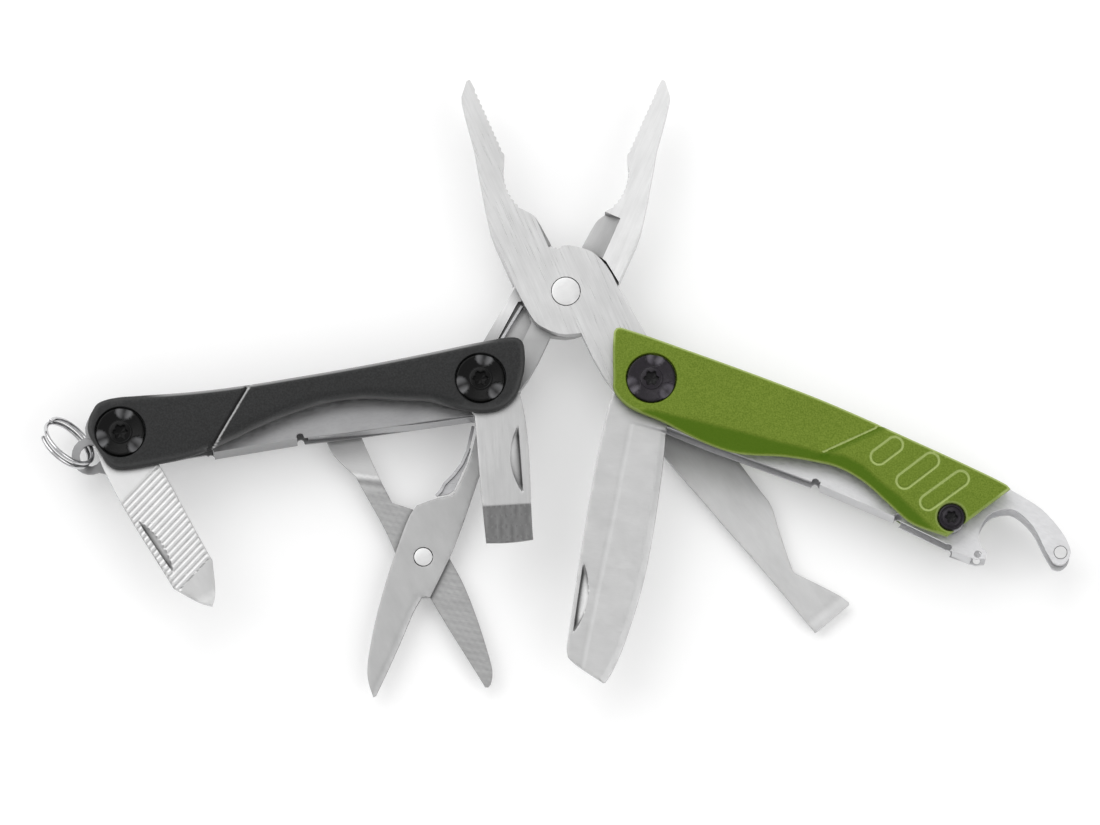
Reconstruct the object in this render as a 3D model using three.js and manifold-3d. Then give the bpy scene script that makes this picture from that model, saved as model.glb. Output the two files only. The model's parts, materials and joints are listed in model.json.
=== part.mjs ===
// A butterfly-opening multi tool, fanned open and lying on its back scales.
// Millimetres, +Z up. The pliers point along +Y, the black handle lies to the left and the green one
// to the right. The origin is the middle of the bounding box's bottom.
import * as THREE from 'three';
import { mergeVertices } from 'three/addons/utils/BufferGeometryUtils.js';
import Module from 'manifold-3d';

const wasm = await Module();
wasm.setup();

// ---------------------------------------------------------------- driving dimensions
// Layers of the stack, back (0) to front: [bottom, top] of each.
const Z = {
  backScale: [0, 1.2],
  opener: [1.28, 2.18],
  lever: [2.26, 3.01],
  scissors: [3.09, 3.84],
  backPlate: [3.92, 4.52],
  backJaw: [4.62, 6.62],
  frontJaw: [6.7, 8.7],
  frontPlate: [8.8, 9.4],
  knife: [9.48, 10.58],
  driver: [10.66, 11.76],
  frontScale: [11.84, 13.14],
};
const CHANNEL = [4.56, 8.76]; // spacer between the two plates of a frame
const DETENT_Z = [4.6, 8.7]; // the handles' detent leaves
const DETENT = 0.4; // their thickness

const JAW_OPEN = 23.6; // each jaw's angle from closed, degrees
const ARM_X = 5.5; // handle pivots in a closed jaw's frame
const ARM_Y = -16.6;
const LEFT_ANGLE = 9; // the left handle's nose direction
const RIGHT_ANGLE = -22.1; // the right handle's rear direction
const KNIFE_ANGLE = -98.9;
const OPENER_ANGLE = -51.6;
const DRIVER_ANGLE = -86.5;
const SCISSORS_ANGLE = -109;
const FILE_ANGLE = -59.3;

const LEFT_REAR = [-49.8, 0.3]; // rear post in the left handle's frame
const RIGHT_END = [45.2, -2.5]; // end screw in the right handle's frame
const SCISSORS_RIVET = [24.5, 0.1]; // in the scissors' main blade's frame
const EAR = [-54.4, -0.7]; // lanyard hole in the left handle's frame
const EAR_RADIUS = 2.6;
const EAR_HOLE = 1.5;
const NOTCH = 0.52; // radius of the notches beside the folded lips
const HOOK_PIN = [60.7, -0.8]; // pin through the tip of the opener hook
const HOOK_PIN_RADIUS = 0.87;
const HOOK_PIN_WAIST = 1.15; // its thick middle, between the plates
const HOOK_PIN_HOLE = 0.95;

const POST = 1.6; // radius of the pivot barrels
const POST_HOLE = 1.72;
const HEAD = 3.3; // radius of the big screw heads
const HEAD_HOLE = 3.5;
const HEAD_DEPTH = 1.02;
const SMALL_POST = 1.0;
const SMALL_POST_HOLE = 1.12;
const SMALL_HEAD = 1.8;
const SMALL_HEAD_HOLE = 1.95;
const BACK_HEAD = 2.1; // barrel nut heads
const BACK_HEAD_HOLE = 2.25;
const SMALL_BACK_HEAD = 1.35;
const SMALL_BACK_HEAD_HOLE = 1.5;
const WASHER = 2.8;
const SPACER = 1.7; // radius of the end screw's spacers
const RIVET = 1.96;
const SCISSORS_RIVET_RADIUS = 1.26;
const ROUND = 22; // sides of a round feature
const FINE = 14; // sides of a small or hidden one
const ABOVE = 20; // higher than every layer
const THROUGH = [-1, ABOVE]; // heights of a cut that goes through every layer
const PLAY = 0.1; // between a rivet and its hole

const rad = THREE.MathUtils.degToRad;

// ---------------------------------------------------------------- solids
function solid(geometry) {
  const bare = geometry.clone();
  bare.deleteAttribute('normal');
  bare.deleteAttribute('uv');
  const merged = mergeVertices(bare, 1e-4);
  return new wasm.Manifold(new wasm.Mesh({
    numProp: 3,
    vertProperties: new Float32Array(merged.attributes.position.array),
    triVerts: new Uint32Array(merged.index.array),
  }));
}

function geometryOf(body) {
  const mesh = body.getMesh();
  const geometry = new THREE.BufferGeometry();
  geometry.setAttribute('position', new THREE.BufferAttribute(new Float32Array(mesh.vertProperties), 3));
  geometry.setIndex(new THREE.BufferAttribute(new Uint32Array(mesh.triVerts), 1));
  geometry.computeVertexNormals();
  return geometry;
}

// An outline from a list of runs. A pair is a corner; { curve: [...] } is a smooth run through points.
function outline(...runs) {
  const shape = new THREE.Shape();
  let started = false;
  for (const run of runs) {
    const points = Array.isArray(run) ? [run] : run.curve;
    if (!started) {
      shape.moveTo(...points[0]);
      started = true;
      if (!Array.isArray(run)) shape.splineThru(points.slice(1).map((p) => new THREE.Vector2(...p)));
    } else if (Array.isArray(run)) {
      shape.lineTo(...run);
    } else {
      shape.lineTo(...points[0]);
      shape.splineThru(points.slice(1).map((p) => new THREE.Vector2(...p)));
    }
  }
  return shape;
}

function curve(...points) {
  return { curve: points };
}

// A flat slab of an outline between two heights; edge rounds its rims.
function slab(shape, [bottom, top], edge = 0, segments = 2, smooth = 1) {
  const geometry = new THREE.ExtrudeGeometry(shape, {
    depth: top - bottom - 2 * edge,
    curveSegments: smooth,
    bevelEnabled: edge > 0,
    bevelThickness: edge,
    bevelSize: edge,
    bevelOffset: -edge,
    bevelSegments: segments,
  });
  return solid(geometry).translate([0, 0, bottom + edge]);
}

function disc([x, y], radius, [bottom, top], sides = ROUND) {
  const geometry = new THREE.CylinderGeometry(radius, radius, top - bottom, sides);
  geometry.rotateX(Math.PI / 2);
  return solid(geometry).translate([x, y, (bottom + top) / 2]);
}

function ring(at, inner, outer, [bottom, top], sides = ROUND) {
  return disc(at, outer, [bottom, top], sides).subtract(disc(at, inner, [bottom - 1, top + 1], sides));
}

function cut(body, ...tools) {
  return tools.reduce((left, tool) => left.subtract(tool), body);
}

function join(body, ...others) {
  return others.reduce((left, other) => left.add(other), body);
}

// A bar of square section along a polyline, for grooves, rims and thin leaves.
function ribbon(points, width, [bottom, top]) {
  const left = [];
  const right = [];
  points.forEach(([x, y], i) => {
    const before = points[Math.max(i - 1, 0)];
    const after = points[Math.min(i + 1, points.length - 1)];
    const along = new THREE.Vector2(after[0] - before[0], after[1] - before[1]).normalize();
    left.push([x - (along.y * width) / 2, y + (along.x * width) / 2]);
    right.push([x + (along.y * width) / 2, y - (along.x * width) / 2]);
  });
  return slab(outline(...left, ...right.reverse()), [bottom, top]);
}

// ---------------------------------------------------------------- materials
const FINISH = {
  steel: { color: 0xc9cacb, roughness: 0.38, metalness: 1 },
  polished: { color: 0xdcdddf, roughness: 0.18, metalness: 1 },
  black: { color: 0x2b2c2d, roughness: 0.55, metalness: 0.1 },
  green: { color: 0x6e9a2c, roughness: 0.42, metalness: 0.3 },
  screw: { color: 0x1d1b20, roughness: 0.3, metalness: 0.6 },
  spring: { color: 0xa9abae, roughness: 0.3, metalness: 1 },
};

function piece(group, name, body, finish) {
  const mesh = new THREE.Mesh(geometryOf(body), new THREE.MeshStandardMaterial(FINISH[finish]));
  mesh.name = name;
  group.add(mesh);
  return mesh;
}

function groupAt(parent, [x, y], angle) {
  const group = new THREE.Group();
  group.position.set(x, y, 0);
  group.rotation.z = rad(angle);
  parent.add(group);
  return group;
}

// ---------------------------------------------------------------- pliers
const MIDDLE = (Z.backJaw[0] + Z.frontJaw[1]) / 2;
const TOOTH = 0.22; // depth of a grip tooth
const TOOTH_PITCH = 0.8;

// Teeth along a line or arc: every second point is set back into the jaw (towards -x).
function teeth(from, to, bulge) {
  const length = Math.hypot(to[0] - from[0], to[1] - from[1]);
  const count = 2 * Math.round(length / TOOTH_PITCH);
  const points = [];
  for (let i = 0; i <= count; i += 1) {
    const t = i / count;
    const sag = bulge * 4 * t * (1 - t);
    const back = i % 2 ? TOOTH : 0;
    points.push([from[0] + (to[0] - from[0]) * t - sag - back, from[1] + (to[1] - from[1]) * t]);
  }
  return points;
}

const jawOutline = outline(
  [-0.2, 32.6],
  [-0.7, 32.6],
  [-2.25, 30.8],
  curve([-2.25, 30.8], [-2.7, 28.4], [-3.4, 23.8]),
  curve([-3.4, 23.8], [-5.9, 12.9], [-6.15, 8.2], [-6.1, 3.3]),
  curve([-6.1, 3.3], [-5.75, -1.5], [-4.8, -3.5], [-2.9, -5.3], [-0.4, -6.2]),
  [-0.3, -10],
  [0, -13],
  curve([0.3, -14.4], [1.2, -17.2], [3.3, -19.2], [6, -19.9]),
  curve([6, -19.9], [8.2, -18.6], [8.6, -16.2], [7.9, -11.5]),
  [7.7, -10.3],
  [6.8, -2],
  curve([6.75, -0.4], [6.4, 1.6], [5.6, 3.5], [4.2, 4.9], [2.6, 5.9], [0.84, 6.2]),
  [0.55, 9.6],
  curve([0.45, 10.4], [0.2, 11.5], [-0.6, 12.6]),
  ...teeth([-0.9, 13], [-0.9, 19.4], 0.75),
  [-0.1, 20.9],
  ...teeth([-0.1, 21.2], [-0.1, 31], 0),
);

// The part of a jaw that is as thick as both jaws: its head, clear of the other jaw's disc.
const headOutline = outline(
  [-0.2, 32.6],
  [-0.7, 32.6],
  [-2.25, 30.8],
  curve([-2.25, 30.8], [-2.7, 28.4], [-3.4, 23.8]),
  curve([-3.4, 23.8], [-5.9, 12.9], [-6.15, 8.2], [-6.15, 4.4]),
  [-6.15, 4.1],
  [-3.4, 6.05],
  [0.7, 7.2],
  [0.55, 9.6],
  curve([0.45, 10.4], [0.2, 11.5], [-0.6, 12.6]),
  ...teeth([-0.9, 13], [-0.9, 19.4], 0.75),
  [-0.1, 20.9],
  ...teeth([-0.1, 21.2], [-0.1, 31], 0),
);

// A wedge that grinds the wire cutter: a prism along the jaw with the section (x, z).
function cutterWedge(section, y0, y1) {
  const geometry = new THREE.ExtrudeGeometry(outline(...section), { depth: y1 - y0, bevelEnabled: false });
  geometry.rotateX(Math.PI / 2);
  return solid(geometry).translate([0, y1, 0]);
}

function jawBlank() {
  const front = slab(jawOutline, Z.frontJaw, 0, 0, 2);
  const head = slab(headOutline, [Z.backJaw[0], Z.frontJaw[0] + 0.01], 0, 0, 2);
  const wide = cutterWedge([[-3, 4.4], [2, 4.4], [2, 9.4], [0.75, 8.25]], 5.9, 12.4);
  const narrow = cutterWedge([[0.8, 8.2], [2, 8.2], [2, 9.2], [-0.2, 9.2]], 6.6, 12.2);
  const pivot = disc([0, 0], RIVET + PLAY, THROUGH);
  const bore = disc([ARM_X, ARM_Y], POST_HOLE, THROUGH, FINE);
  return cut(front.add(head), wide, narrow, pivot, bore);
}

const assembly = new THREE.Group();
const frontJaw = groupAt(assembly, [0, 0], JAW_OPEN);
const backJaw = groupAt(assembly, [0, 0], -JAW_OPEN);

piece(frontJaw, 'front_jaw', jawBlank(), 'steel');

const SPRING_LEAF = [[-4.9, -3.9], [-5.25, -6.5], [-5.6, -9.6], [-5.7, -12]];
const springPocket = slab(
  outline([-2.7, -5.6], [-4.9, -3.2], [-5.6, -3.6], [-6.05, -9.6], [-6.1, -12.4], [-2.9, -12.4]),
  [5.3, 7],
);
const backBlank = jawBlank().rotate([0, 180, 0]).translate([0, 0, 2 * MIDDLE]);
piece(backJaw, 'back_jaw', backBlank.subtract(springPocket), 'steel');
piece(backJaw, 'plier_spring', ribbon(SPRING_LEAF, 0.35, [5.36, 6.58]), 'spring');
piece(assembly, 'plier_rivet', disc([0, 0], RIVET, [Z.backJaw[0], Z.frontJaw[1]]), 'polished');

// ---------------------------------------------------------------- screws, barrels and washers
function star(radius, lobes = 6) {
  const shape = new THREE.Shape();
  const steps = lobes * 2;
  for (let i = 0; i < steps; i += 1) {
    const angle = (2 * Math.PI * i) / steps;
    const reach = radius * (0.86 + 0.14 * Math.cos(lobes * angle));
    if (i === 0) shape.moveTo(reach, 0);
    else shape.lineTo(reach * Math.cos(angle), reach * Math.sin(angle));
  }
  return shape;
}

function lathe(profile, sides = ROUND) {
  const points = profile.map(([r, z]) => new THREE.Vector2(r, z));
  const geometry = new THREE.LatheGeometry(points, sides);
  geometry.rotateX(Math.PI / 2);
  return solid(geometry);
}

// A screw head with a raised ring about its star recess; big heads have three spanner dimples.
function headScrew(radius, shank, top, height, reach, dimples) {
  const raised = radius * 0.44;
  const body = lathe([
    [0, top - height - reach],
    [shank, top - height - reach],
    [shank, top - height],
    [radius, top - height],
    [radius, top - 0.3],
    [radius - 0.3, top],
    [raised + 0.15, top - 0.12],
    [raised, top],
    [0, top],
  ]);
  const recess = slab(star(raised * 0.82), [top - 0.65, top + 1]);
  let head = body.subtract(recess);
  for (let i = 0; i < dimples; i += 1) {
    const angle = rad(80 + (360 / dimples) * i);
    const ball = solid(new THREE.SphereGeometry(1.15, 10, 6));
    head = head.subtract(ball.translate([2.4 * Math.cos(angle), 2.4 * Math.sin(angle), top + 0.6]));
  }
  return head;
}

// A barrel nut: a head in the back scale and a bored shaft up to the front scale's floor.
function barrelNut(radius, shaft, bore, height, top) {
  const body = disc([0, 0], radius, [0.06, height]).add(disc([0, 0], shaft, [height - 0.01, top]));
  const slot = slab(star(radius * 0.5), [-1, 0.5]);
  return cut(body, disc([0, 0], bore, [top - 5, top + 1], 12), slot);
}

const HEAD_FLOOR = Z.frontScale[1] - HEAD_DEPTH; // underside of a screw head

function fastener(group, at, side, place, big) {
  const screw = big
    ? headScrew(HEAD, 0.95, Z.frontScale[1] - 0.06, HEAD_DEPTH - 0.12, 3.6, 3)
    : headScrew(SMALL_HEAD, 0.55, Z.frontScale[1] - 0.06, HEAD_DEPTH - 0.12, 3.6, 0);
  const barrel = big
    ? barrelNut(BACK_HEAD, POST, 1.1, 0.9, HEAD_FLOOR - 0.02)
    : barrelNut(SMALL_BACK_HEAD, SMALL_POST, 0.65, 0.9, HEAD_FLOOR - 0.02);
  piece(group, `${side}_${place}_screw`, screw.translate([...at, 0]), 'screw');
  piece(group, `${side}_${place}_barrel`, barrel.translate([...at, 0]), 'screw');
}

function washer(group, name, at, levels, outer = WASHER, inner = POST_HOLE) {
  piece(group, name, ring(at, inner, outer, levels, FINE), 'steel');
}

// Screw-head seats and holes of a scale.
function seat(at, headHole, postHole, front) {
  const hole = disc(at, postHole, THROUGH, FINE);
  const bore = front ? [HEAD_FLOOR, ABOVE] : [-1, 0.95];
  return hole.add(disc(at, headHole, bore));
}

// ---------------------------------------------------------------- left handle (black)
const turn = ([x, y], angle) => [
  x * Math.cos(rad(angle)) - y * Math.sin(rad(angle)),
  x * Math.sin(rad(angle)) + y * Math.cos(rad(angle)),
];
const leftPivot = turn([-ARM_X, ARM_Y], -JAW_OPEN);
const rightPivot = turn([ARM_X, ARM_Y], JAW_OPEN);
const leftHandle = groupAt(assembly, leftPivot, LEFT_ANGLE);
const rightHandle = groupAt(assembly, rightPivot, RIGHT_ANGLE);
const PLATE_Z = [Z.backPlate[0], Z.frontPlate[1]];

const leftTop = [[-53.1, 3.9], [-50.5, 5.2], [-40, 4.4], [-30, 4.1], [-18, 4.25], [-8, 4.6], [1, 5.05]];
const leftScaleOutline = outline(
  curve([5.5, 4.98], [6.15, 4.66], [6.52, 4.05], [6.58, 3.2]),
  [6.2, 0.6],
  curve([5.5, -1.2], [4.6, -2.9], [3.1, -4.1], [0.8, -4.75], [-2.7, -4.1], [-7.1, -2.1], [-10.5, -1.4]),
  curve([-10.5, -1.4], [-16.3, -0.2], [-22, -0.05], [-28.9, -1.3], [-34, -2.8], [-40.6, -4.5]),
  [-45.8, -4.8],
  curve([-50, -4.8], [-51.9, -4.2], [-52.9, -2.2]),
  curve([-54.1, 0.6], [-54.1, 2.1], [-53.1, 3.9]),
  curve([-52.4, 4.7], [-50.5, 5.2], [-47, 5.0]),
  curve([-40, 4.4], [-32, 4.1], [-18, 4.25], [-8, 4.6], [1, 5.05]),
);
const leftBackOutline = outline(
  curve([5.9, 4.75], [6.65, 3.6], [6.5, 1.8]),
  [5.5, -0.3],
  curve([5, -1.4], [3.6, -2.4], [1, -2.8], [-2.4, -2.6], [-7.1, -1.4], [-10.5, -0.9]),
  curve([-10.5, -0.9], [-16.3, -0.2], [-22, -0.05], [-28.9, -0.9], [-34, -1.7], [-40.6, -2.4]),
  curve([-46, -2.6], [-50, -2.5], [-52.3, -2], [-53.1, -0.8], [-53.7, 1.4], [-53.1, 3.6]),
  curve([-52.4, 4.5], [-50.5, 5], [-47, 4.9]),
  curve([-40, 4.3], [-32, 4], [-18, 4.15], [-8, 4.5], [1, 4.95]),
);
const leftPlateOutline = outline(
  [5.7, 4.75],
  [6.2, 3.4],
  [5.1, -1],
  curve([4.6, -2.4], [3.2, -4.1], [0.5, -4.5], [-2, -4.2]),
  [-19, -3.95],
  [-25, -3.7],
  [-25.4, -3.3],
  [-38.2, -3.45],
  [-38.7, -3.1],
  [-46, -3.2],
  curve([-50.5, -3.2], [-52.4, -2.6], [-53.4, -1.2]),
  curve([-54.4, 0.6], [-54.5, 2.3], [-53.4, 4.2]),
  curve([-52.6, 5.1], [-50.5, 5.5], [-47, 5.3]),
  curve([-40, 4.7], [-32, 4.4], [-18, 4.55], [-8, 4.9], [0, 5.25]),
);

// A frame: two plates of one outline, joined by webs along the lower edge, with post holes.
function frame(plateOutline, webs, extras, holes) {
  const plates = slab(plateOutline, Z.backPlate, 0, 0, 2).add(slab(plateOutline, Z.frontPlate, 0, 0, 2));
  const body = join(plates, ...webs.map((points) => ribbon(points, 0.6, PLATE_Z)), ...extras);
  return cut(body, ...holes);
}

const ear = disc(EAR, EAR_RADIUS, Z.backPlate)
  .add(slab(outline([-52, -3.8], [-54, -3], [-55.5, 1.4], [-53, 3]), Z.backPlate));
const leftNotches = [[-25.6, -3.5], [-38.1, -3.7]].map((at) => disc(at, NOTCH, THROUGH, FINE));
const leftFrame = frame(
  leftPlateOutline,
  [[[-26, -3.4], [-37.7, -3.5]]],
  [ear],
  [
    disc([0, 0], POST_HOLE, THROUGH, FINE),
    disc(LEFT_REAR, POST_HOLE, THROUGH, FINE),
    disc(EAR, EAR_HOLE, THROUGH, FINE),
    ...leftNotches,
  ],
);
piece(leftHandle, 'left_frame', leftFrame, 'steel');

const RIM = 0.9; // width of a scale's rim
const RIM_INSET = 0.6; // from the scale's top edge to the rim's middle
const rimBelow = (points) => points.map(([x, y]) => [x, y - RIM_INSET]);
const rimTop = Z.frontPlate[1] + 0.08;
const rimBottom = Z.backPlate[0] - 0.08;

const leftFrontRim = ribbon(rimBelow(leftTop.slice(2)), RIM, [rimTop, Z.frontScale[0] + 0.2]);
const leftGroove = ribbon([[-30.2, 5.6], [-39.3, -5.6]], 0.55, [Z.frontScale[1] - 0.35, ABOVE]);
const leftFrontScale = cut(
  slab(leftScaleOutline, Z.frontScale, 0.45, 2).add(leftFrontRim),
  leftGroove,
  seat([0, 0], HEAD_HOLE, POST_HOLE, true),
  seat(LEFT_REAR, HEAD_HOLE, POST_HOLE, true),
);
piece(leftHandle, 'left_front_scale', leftFrontScale, 'black');

// The back rim is only near the rear post: the scissors' lever arm swings through the rest.
const leftBackRim = ribbon(rimBelow(leftTop.slice(1, 3)), RIM, [Z.backScale[1] - 0.2, rimBottom]);
const leftBackScale = cut(
  slab(leftBackOutline, Z.backScale, 0.3, 1).add(leftBackRim),
  seat([0, 0], BACK_HEAD_HOLE, POST_HOLE, false),
  seat(LEFT_REAR, BACK_HEAD_HOLE, POST_HOLE, false),
);
piece(leftHandle, 'left_back_scale', leftBackScale, 'black');

fastener(leftHandle, [0, 0], 'left', 'pivot', true);
fastener(leftHandle, LEFT_REAR, 'left', 'rear', true);
washer(leftHandle, 'left_pivot_front_washer', [0, 0], [9.46, 10.58]);
washer(leftHandle, 'left_pivot_back_washer', [0, 0], [1.26, 3.01], 2.3);
washer(leftHandle, 'left_rear_front_washer', LEFT_REAR, [9.46, 10.58]);
washer(leftHandle, 'left_rear_back_spacer', LEFT_REAR, [1.26, 3.86]);
washer(leftHandle, 'left_rear_spacer', LEFT_REAR, CHANNEL);
const leftDetent = [[1, -4.15], [-8, -4.05], [-18, -3.55], [-24.5, -3.1]];
piece(leftHandle, 'left_detent_spring', ribbon(leftDetent, DETENT, DETENT_Z), 'spring');

// ---------------------------------------------------------------- right handle (green)
const rightTop = [[-5.5, 4.95], [5, 5.6], [13.2, 5.8], [21.4, 6], [31.9, 5.6], [42, 5.2], [48, 4.8]];
const rightScaleOutline = outline(
  curve([-6.7, 4.95], [-7.2, 4.5], [-7.05, 3.6]),
  [-4.9, -1.8],
  curve([-4.2, -3.4], [-2.8, -4.4], [-1, -4.9]),
  curve([3.9, -5], [8, -5.4], [13, -5.5], [16.9, -4.6]),
  curve([16.9, -4.6], [21.3, -3.1], [26.2, -2.1], [30.4, -1.9], [35.6, -3.6], [39.6, -5.1]),
  [40.5, -5.3],
  [45.6, -5.2],
  [51.2, 4.2],
  [50.6, 4.5],
  curve([50, 4.6], [42, 5.2], [31.9, 5.6]),
  curve([31.9, 5.6], [21.4, 6], [13.2, 5.8], [5, 5.6], [-5.5, 5.1]),
);
const rightBackOutline = outline(
  curve([-6.2, 4.75], [-6.8, 4.2], [-6.6, 3.2]),
  [-4.6, -1.2],
  curve([-3.8, -2.4], [-2.4, -3.2], [0, -3.6]),
  curve([3.9, -4], [8, -4.2], [13, -4.2], [16.9, -3.6]),
  curve([16.9, -3.6], [21.3, -2.7], [26.2, -2], [30.4, -1.9], [35.6, -3], [39.6, -3.9]),
  [45.6, -4.1],
  [50.6, 3.9],
  curve([50, 4.4], [42, 5], [31.9, 5.4]),
  curve([31.9, 5.4], [21.4, 5.8], [13.2, 5.6], [5, 5.4], [-5.5, 4.9]),
);
const rightPlateOutline = outline(
  [-6.3, 4.7],
  [-6.6, 3.6],
  [-4.6, -1.7],
  curve([-3.9, -3.2], [-2.6, -4.2], [-1, -4.7]),
  [10, -4.9],
  [25.8, -4.4],
  [26.2, -4],
  [38.2, -4.3],
  [38.6, -5],
  [45.8, -5.5],
  [46.6, -6.2],
  [50.4, -6],
  [51.5, -5.4],
  [51.4, -4.6],
  curve(
    [50.3, -4.2], [49.5, -3], [49.3, -1.2], [49.9, 0.8], [52, 2.25],
    [54, 2.05], [56.3, 0.9], [58.4, -1], [59.5, -1.9],
  ),
  curve([60.3, -2.5], [61.3, -2.4], [62, -1.4], [61.9, 0], [60.4, 1.5]),
  curve([60.4, 1.5], [58.5, 2.7], [55.8, 3.9], [52.6, 4.5]),
  curve([50, 4.9], [42, 5.5], [31.9, 5.9]),
  curve([31.9, 5.9], [21.4, 6.25], [13.2, 6.1], [5, 5.9], [-4, 5.3]),
);
const rightNotches = [[26, -4.3], [38.3, -4.6], [46.2, -5.9], [50.3, -5.3]]
  .map((at) => disc(at, NOTCH, THROUGH, FINE));
const rightFrame = frame(
  rightPlateOutline,
  [[[26.7, -4.15], [37.8, -4.4]], [[46.9, -5.8], [49.6, -5.8]]],
  [],
  [
    disc([0, 0], POST_HOLE, THROUGH, FINE),
    disc(RIGHT_END, SMALL_POST_HOLE, THROUGH, FINE),
    disc(HOOK_PIN, HOOK_PIN_HOLE, THROUGH, FINE),
    ...rightNotches,
  ],
);
piece(rightHandle, 'right_frame', rightFrame, 'steel');
const hookPin = disc(HOOK_PIN, HOOK_PIN_RADIUS, PLATE_Z, FINE)
  .add(disc(HOOK_PIN, HOOK_PIN_WAIST, CHANNEL, FINE));
piece(rightHandle, 'hook_pin', hookPin, 'polished');

const OBROUNDS = [[[32.9, 1.55], [34.3, 3.9]], [[37.4, -0.25], [39.7, 3.7]], [[41.5, -1.8], [44.4, 2.9]]];
const rightFrontRim = ribbon(rimBelow(rightTop), RIM, [rimTop, Z.frontScale[0] + 0.2]);
const rightStep = ribbon([[32.3, 6.4], [25.6, -1.4]], 0.5, [Z.frontScale[1] - 0.3, ABOVE]);
function obroundGroove([from, to]) {
  const levels = [Z.frontScale[1] - 0.25, ABOVE];
  const obround = (radius) => join(
    ribbon([from, to], 2 * radius, levels),
    disc(from, radius, levels, 10),
    disc(to, radius, levels, 10),
  );
  return obround(1.15).subtract(obround(0.85));
}
const rightFrontScale = cut(
  slab(rightScaleOutline, Z.frontScale, 0.4, 2).add(rightFrontRim),
  rightStep,
  ...OBROUNDS.map(obroundGroove),
  seat([0, 0], HEAD_HOLE, POST_HOLE, true),
  seat(RIGHT_END, SMALL_HEAD_HOLE, SMALL_POST_HOLE, true),
);
piece(rightHandle, 'right_front_scale', rightFrontScale, 'green');

const rightBackRim = ribbon(rimBelow(rightTop), RIM, [Z.backScale[1] - 0.2, rimBottom]);
const rightBackScale = cut(
  slab(rightBackOutline, Z.backScale, 0.3, 1).add(rightBackRim),
  seat([0, 0], BACK_HEAD_HOLE, POST_HOLE, false),
  seat(RIGHT_END, SMALL_BACK_HEAD_HOLE, SMALL_POST_HOLE, false),
);
piece(rightHandle, 'right_back_scale', rightBackScale, 'green');

fastener(rightHandle, [0, 0], 'right', 'pivot', true);
fastener(rightHandle, RIGHT_END, 'right', 'end', false);
washer(rightHandle, 'right_pivot_front_washer', [0, 0], [10.64, 11.8]);
washer(rightHandle, 'right_pivot_back_washer', [0, 0], [2.24, 3.86]);
washer(rightHandle, 'right_end_front_spacer', RIGHT_END, [9.46, 11.8], SPACER, SMALL_POST_HOLE);
washer(rightHandle, 'right_end_back_spacer', RIGHT_END, [1.26, 3.86], SPACER, SMALL_POST_HOLE);
washer(rightHandle, 'right_end_spacer', RIGHT_END, CHANNEL, SPACER, SMALL_POST_HOLE);
const rightDetent = [[0.5, -4.2], [8, -4.05], [18, -3.85], [25.2, -3.7]];
piece(rightHandle, 'right_detent_spring', ribbon(rightDetent, DETENT, DETENT_Z), 'spring');

// ---------------------------------------------------------------- tools
// A fingernail nick: a slanted ball cut along the tool, sunk from its front face.
function nick(from, to, front, depth = 0.45, width = 1.1) {
  const length = Math.hypot(to[0] - from[0], to[1] - from[1]);
  const ball = new THREE.SphereGeometry(1, 14, 6);
  ball.scale(length / 2, width, depth);
  ball.rotateZ(Math.atan2(to[1] - from[1], to[0] - from[0]));
  return solid(ball).translate([(from[0] + to[0]) / 2, (from[1] + to[1]) / 2, front]);
}

// A ground bevel: removes everything above a sloping plane beyond the line from a to b (left side).
function bevelCut(a, b, top, rise, reach) {
  const length = Math.hypot(b[0] - a[0], b[1] - a[1]) + 20;
  const wedge = outline([0, 0], [reach, -rise], [reach, 3], [0, 3]);
  const geometry = new THREE.ExtrudeGeometry(wedge, { depth: length, bevelEnabled: false });
  geometry.rotateX(Math.PI / 2); // section (x, z), running along -y
  const angle = THREE.MathUtils.radToDeg(Math.atan2(b[1] - a[1], b[0] - a[0])) + 90;
  return solid(geometry).translate([0, 10, 0]).rotate([0, 0, angle]).translate([a[0], a[1], top]);
}

const knife = groupAt(assembly, rightPivot, KNIFE_ANGLE);
const knifeOutline = outline(
  curve([-3.2, -1.5], [-3.6, 0.6], [-2.6, 2.6], [0, 3.6], [3, 3.3]),
  [6, 3.1],
  curve([10.8, 3.35], [17.6, 3.5], [24.9, 3.4], [30.8, 2.9], [37.8, 1.7], [41.4, 0.6]),
  [42.2, 0.2],
  [42.3, -0.1],
  curve([39.9, -4.9], [39.1, -5.6], [37.1, -5.75]),
  [13.4, -5.75],
  curve([8, -5.5], [1.25, -4.8], [-1.6, -3.4]),
);
const knifeBlade = cut(
  slab(knifeOutline, Z.knife),
  disc([0, 0], POST_HOLE, THROUGH, FINE),
  slab(outline([6.1, -1.7], [20, -2.2], [37, -3], [43, -3.2], [43, 4], [6.4, 4]), [Z.knife[1] - 0.14, ABOVE]),
  nick([26.6, -5.1], [35.9, -5], Z.knife[1], 0.5, 1.2),
);
piece(knife, 'knife_blade', knifeBlade, 'steel');

const opener = groupAt(assembly, rightPivot, OPENER_ANGLE);
const openerOutline = outline(
  curve([0, -3.6], [-2.6, -2.6], [-3.6, 0], [-2.6, 2.5], [0, 3.3]),
  [20.5, 3.3],
  curve([22.5, 3.2], [27.5, 1.3], [31.5, -0.15]),
  [32, -0.15],
  curve([37.1, 2.2], [39.4, 3.1], [40, 3]),
  [40.2, -3.1],
  [28.7, -3.3],
  [18.7, -3.7],
);
const openerBlade = slab(openerOutline, Z.opener).subtract(disc([0, 0], POST_HOLE, THROUGH, FINE));
piece(opener, 'package_opener', openerBlade, 'steel');

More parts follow.
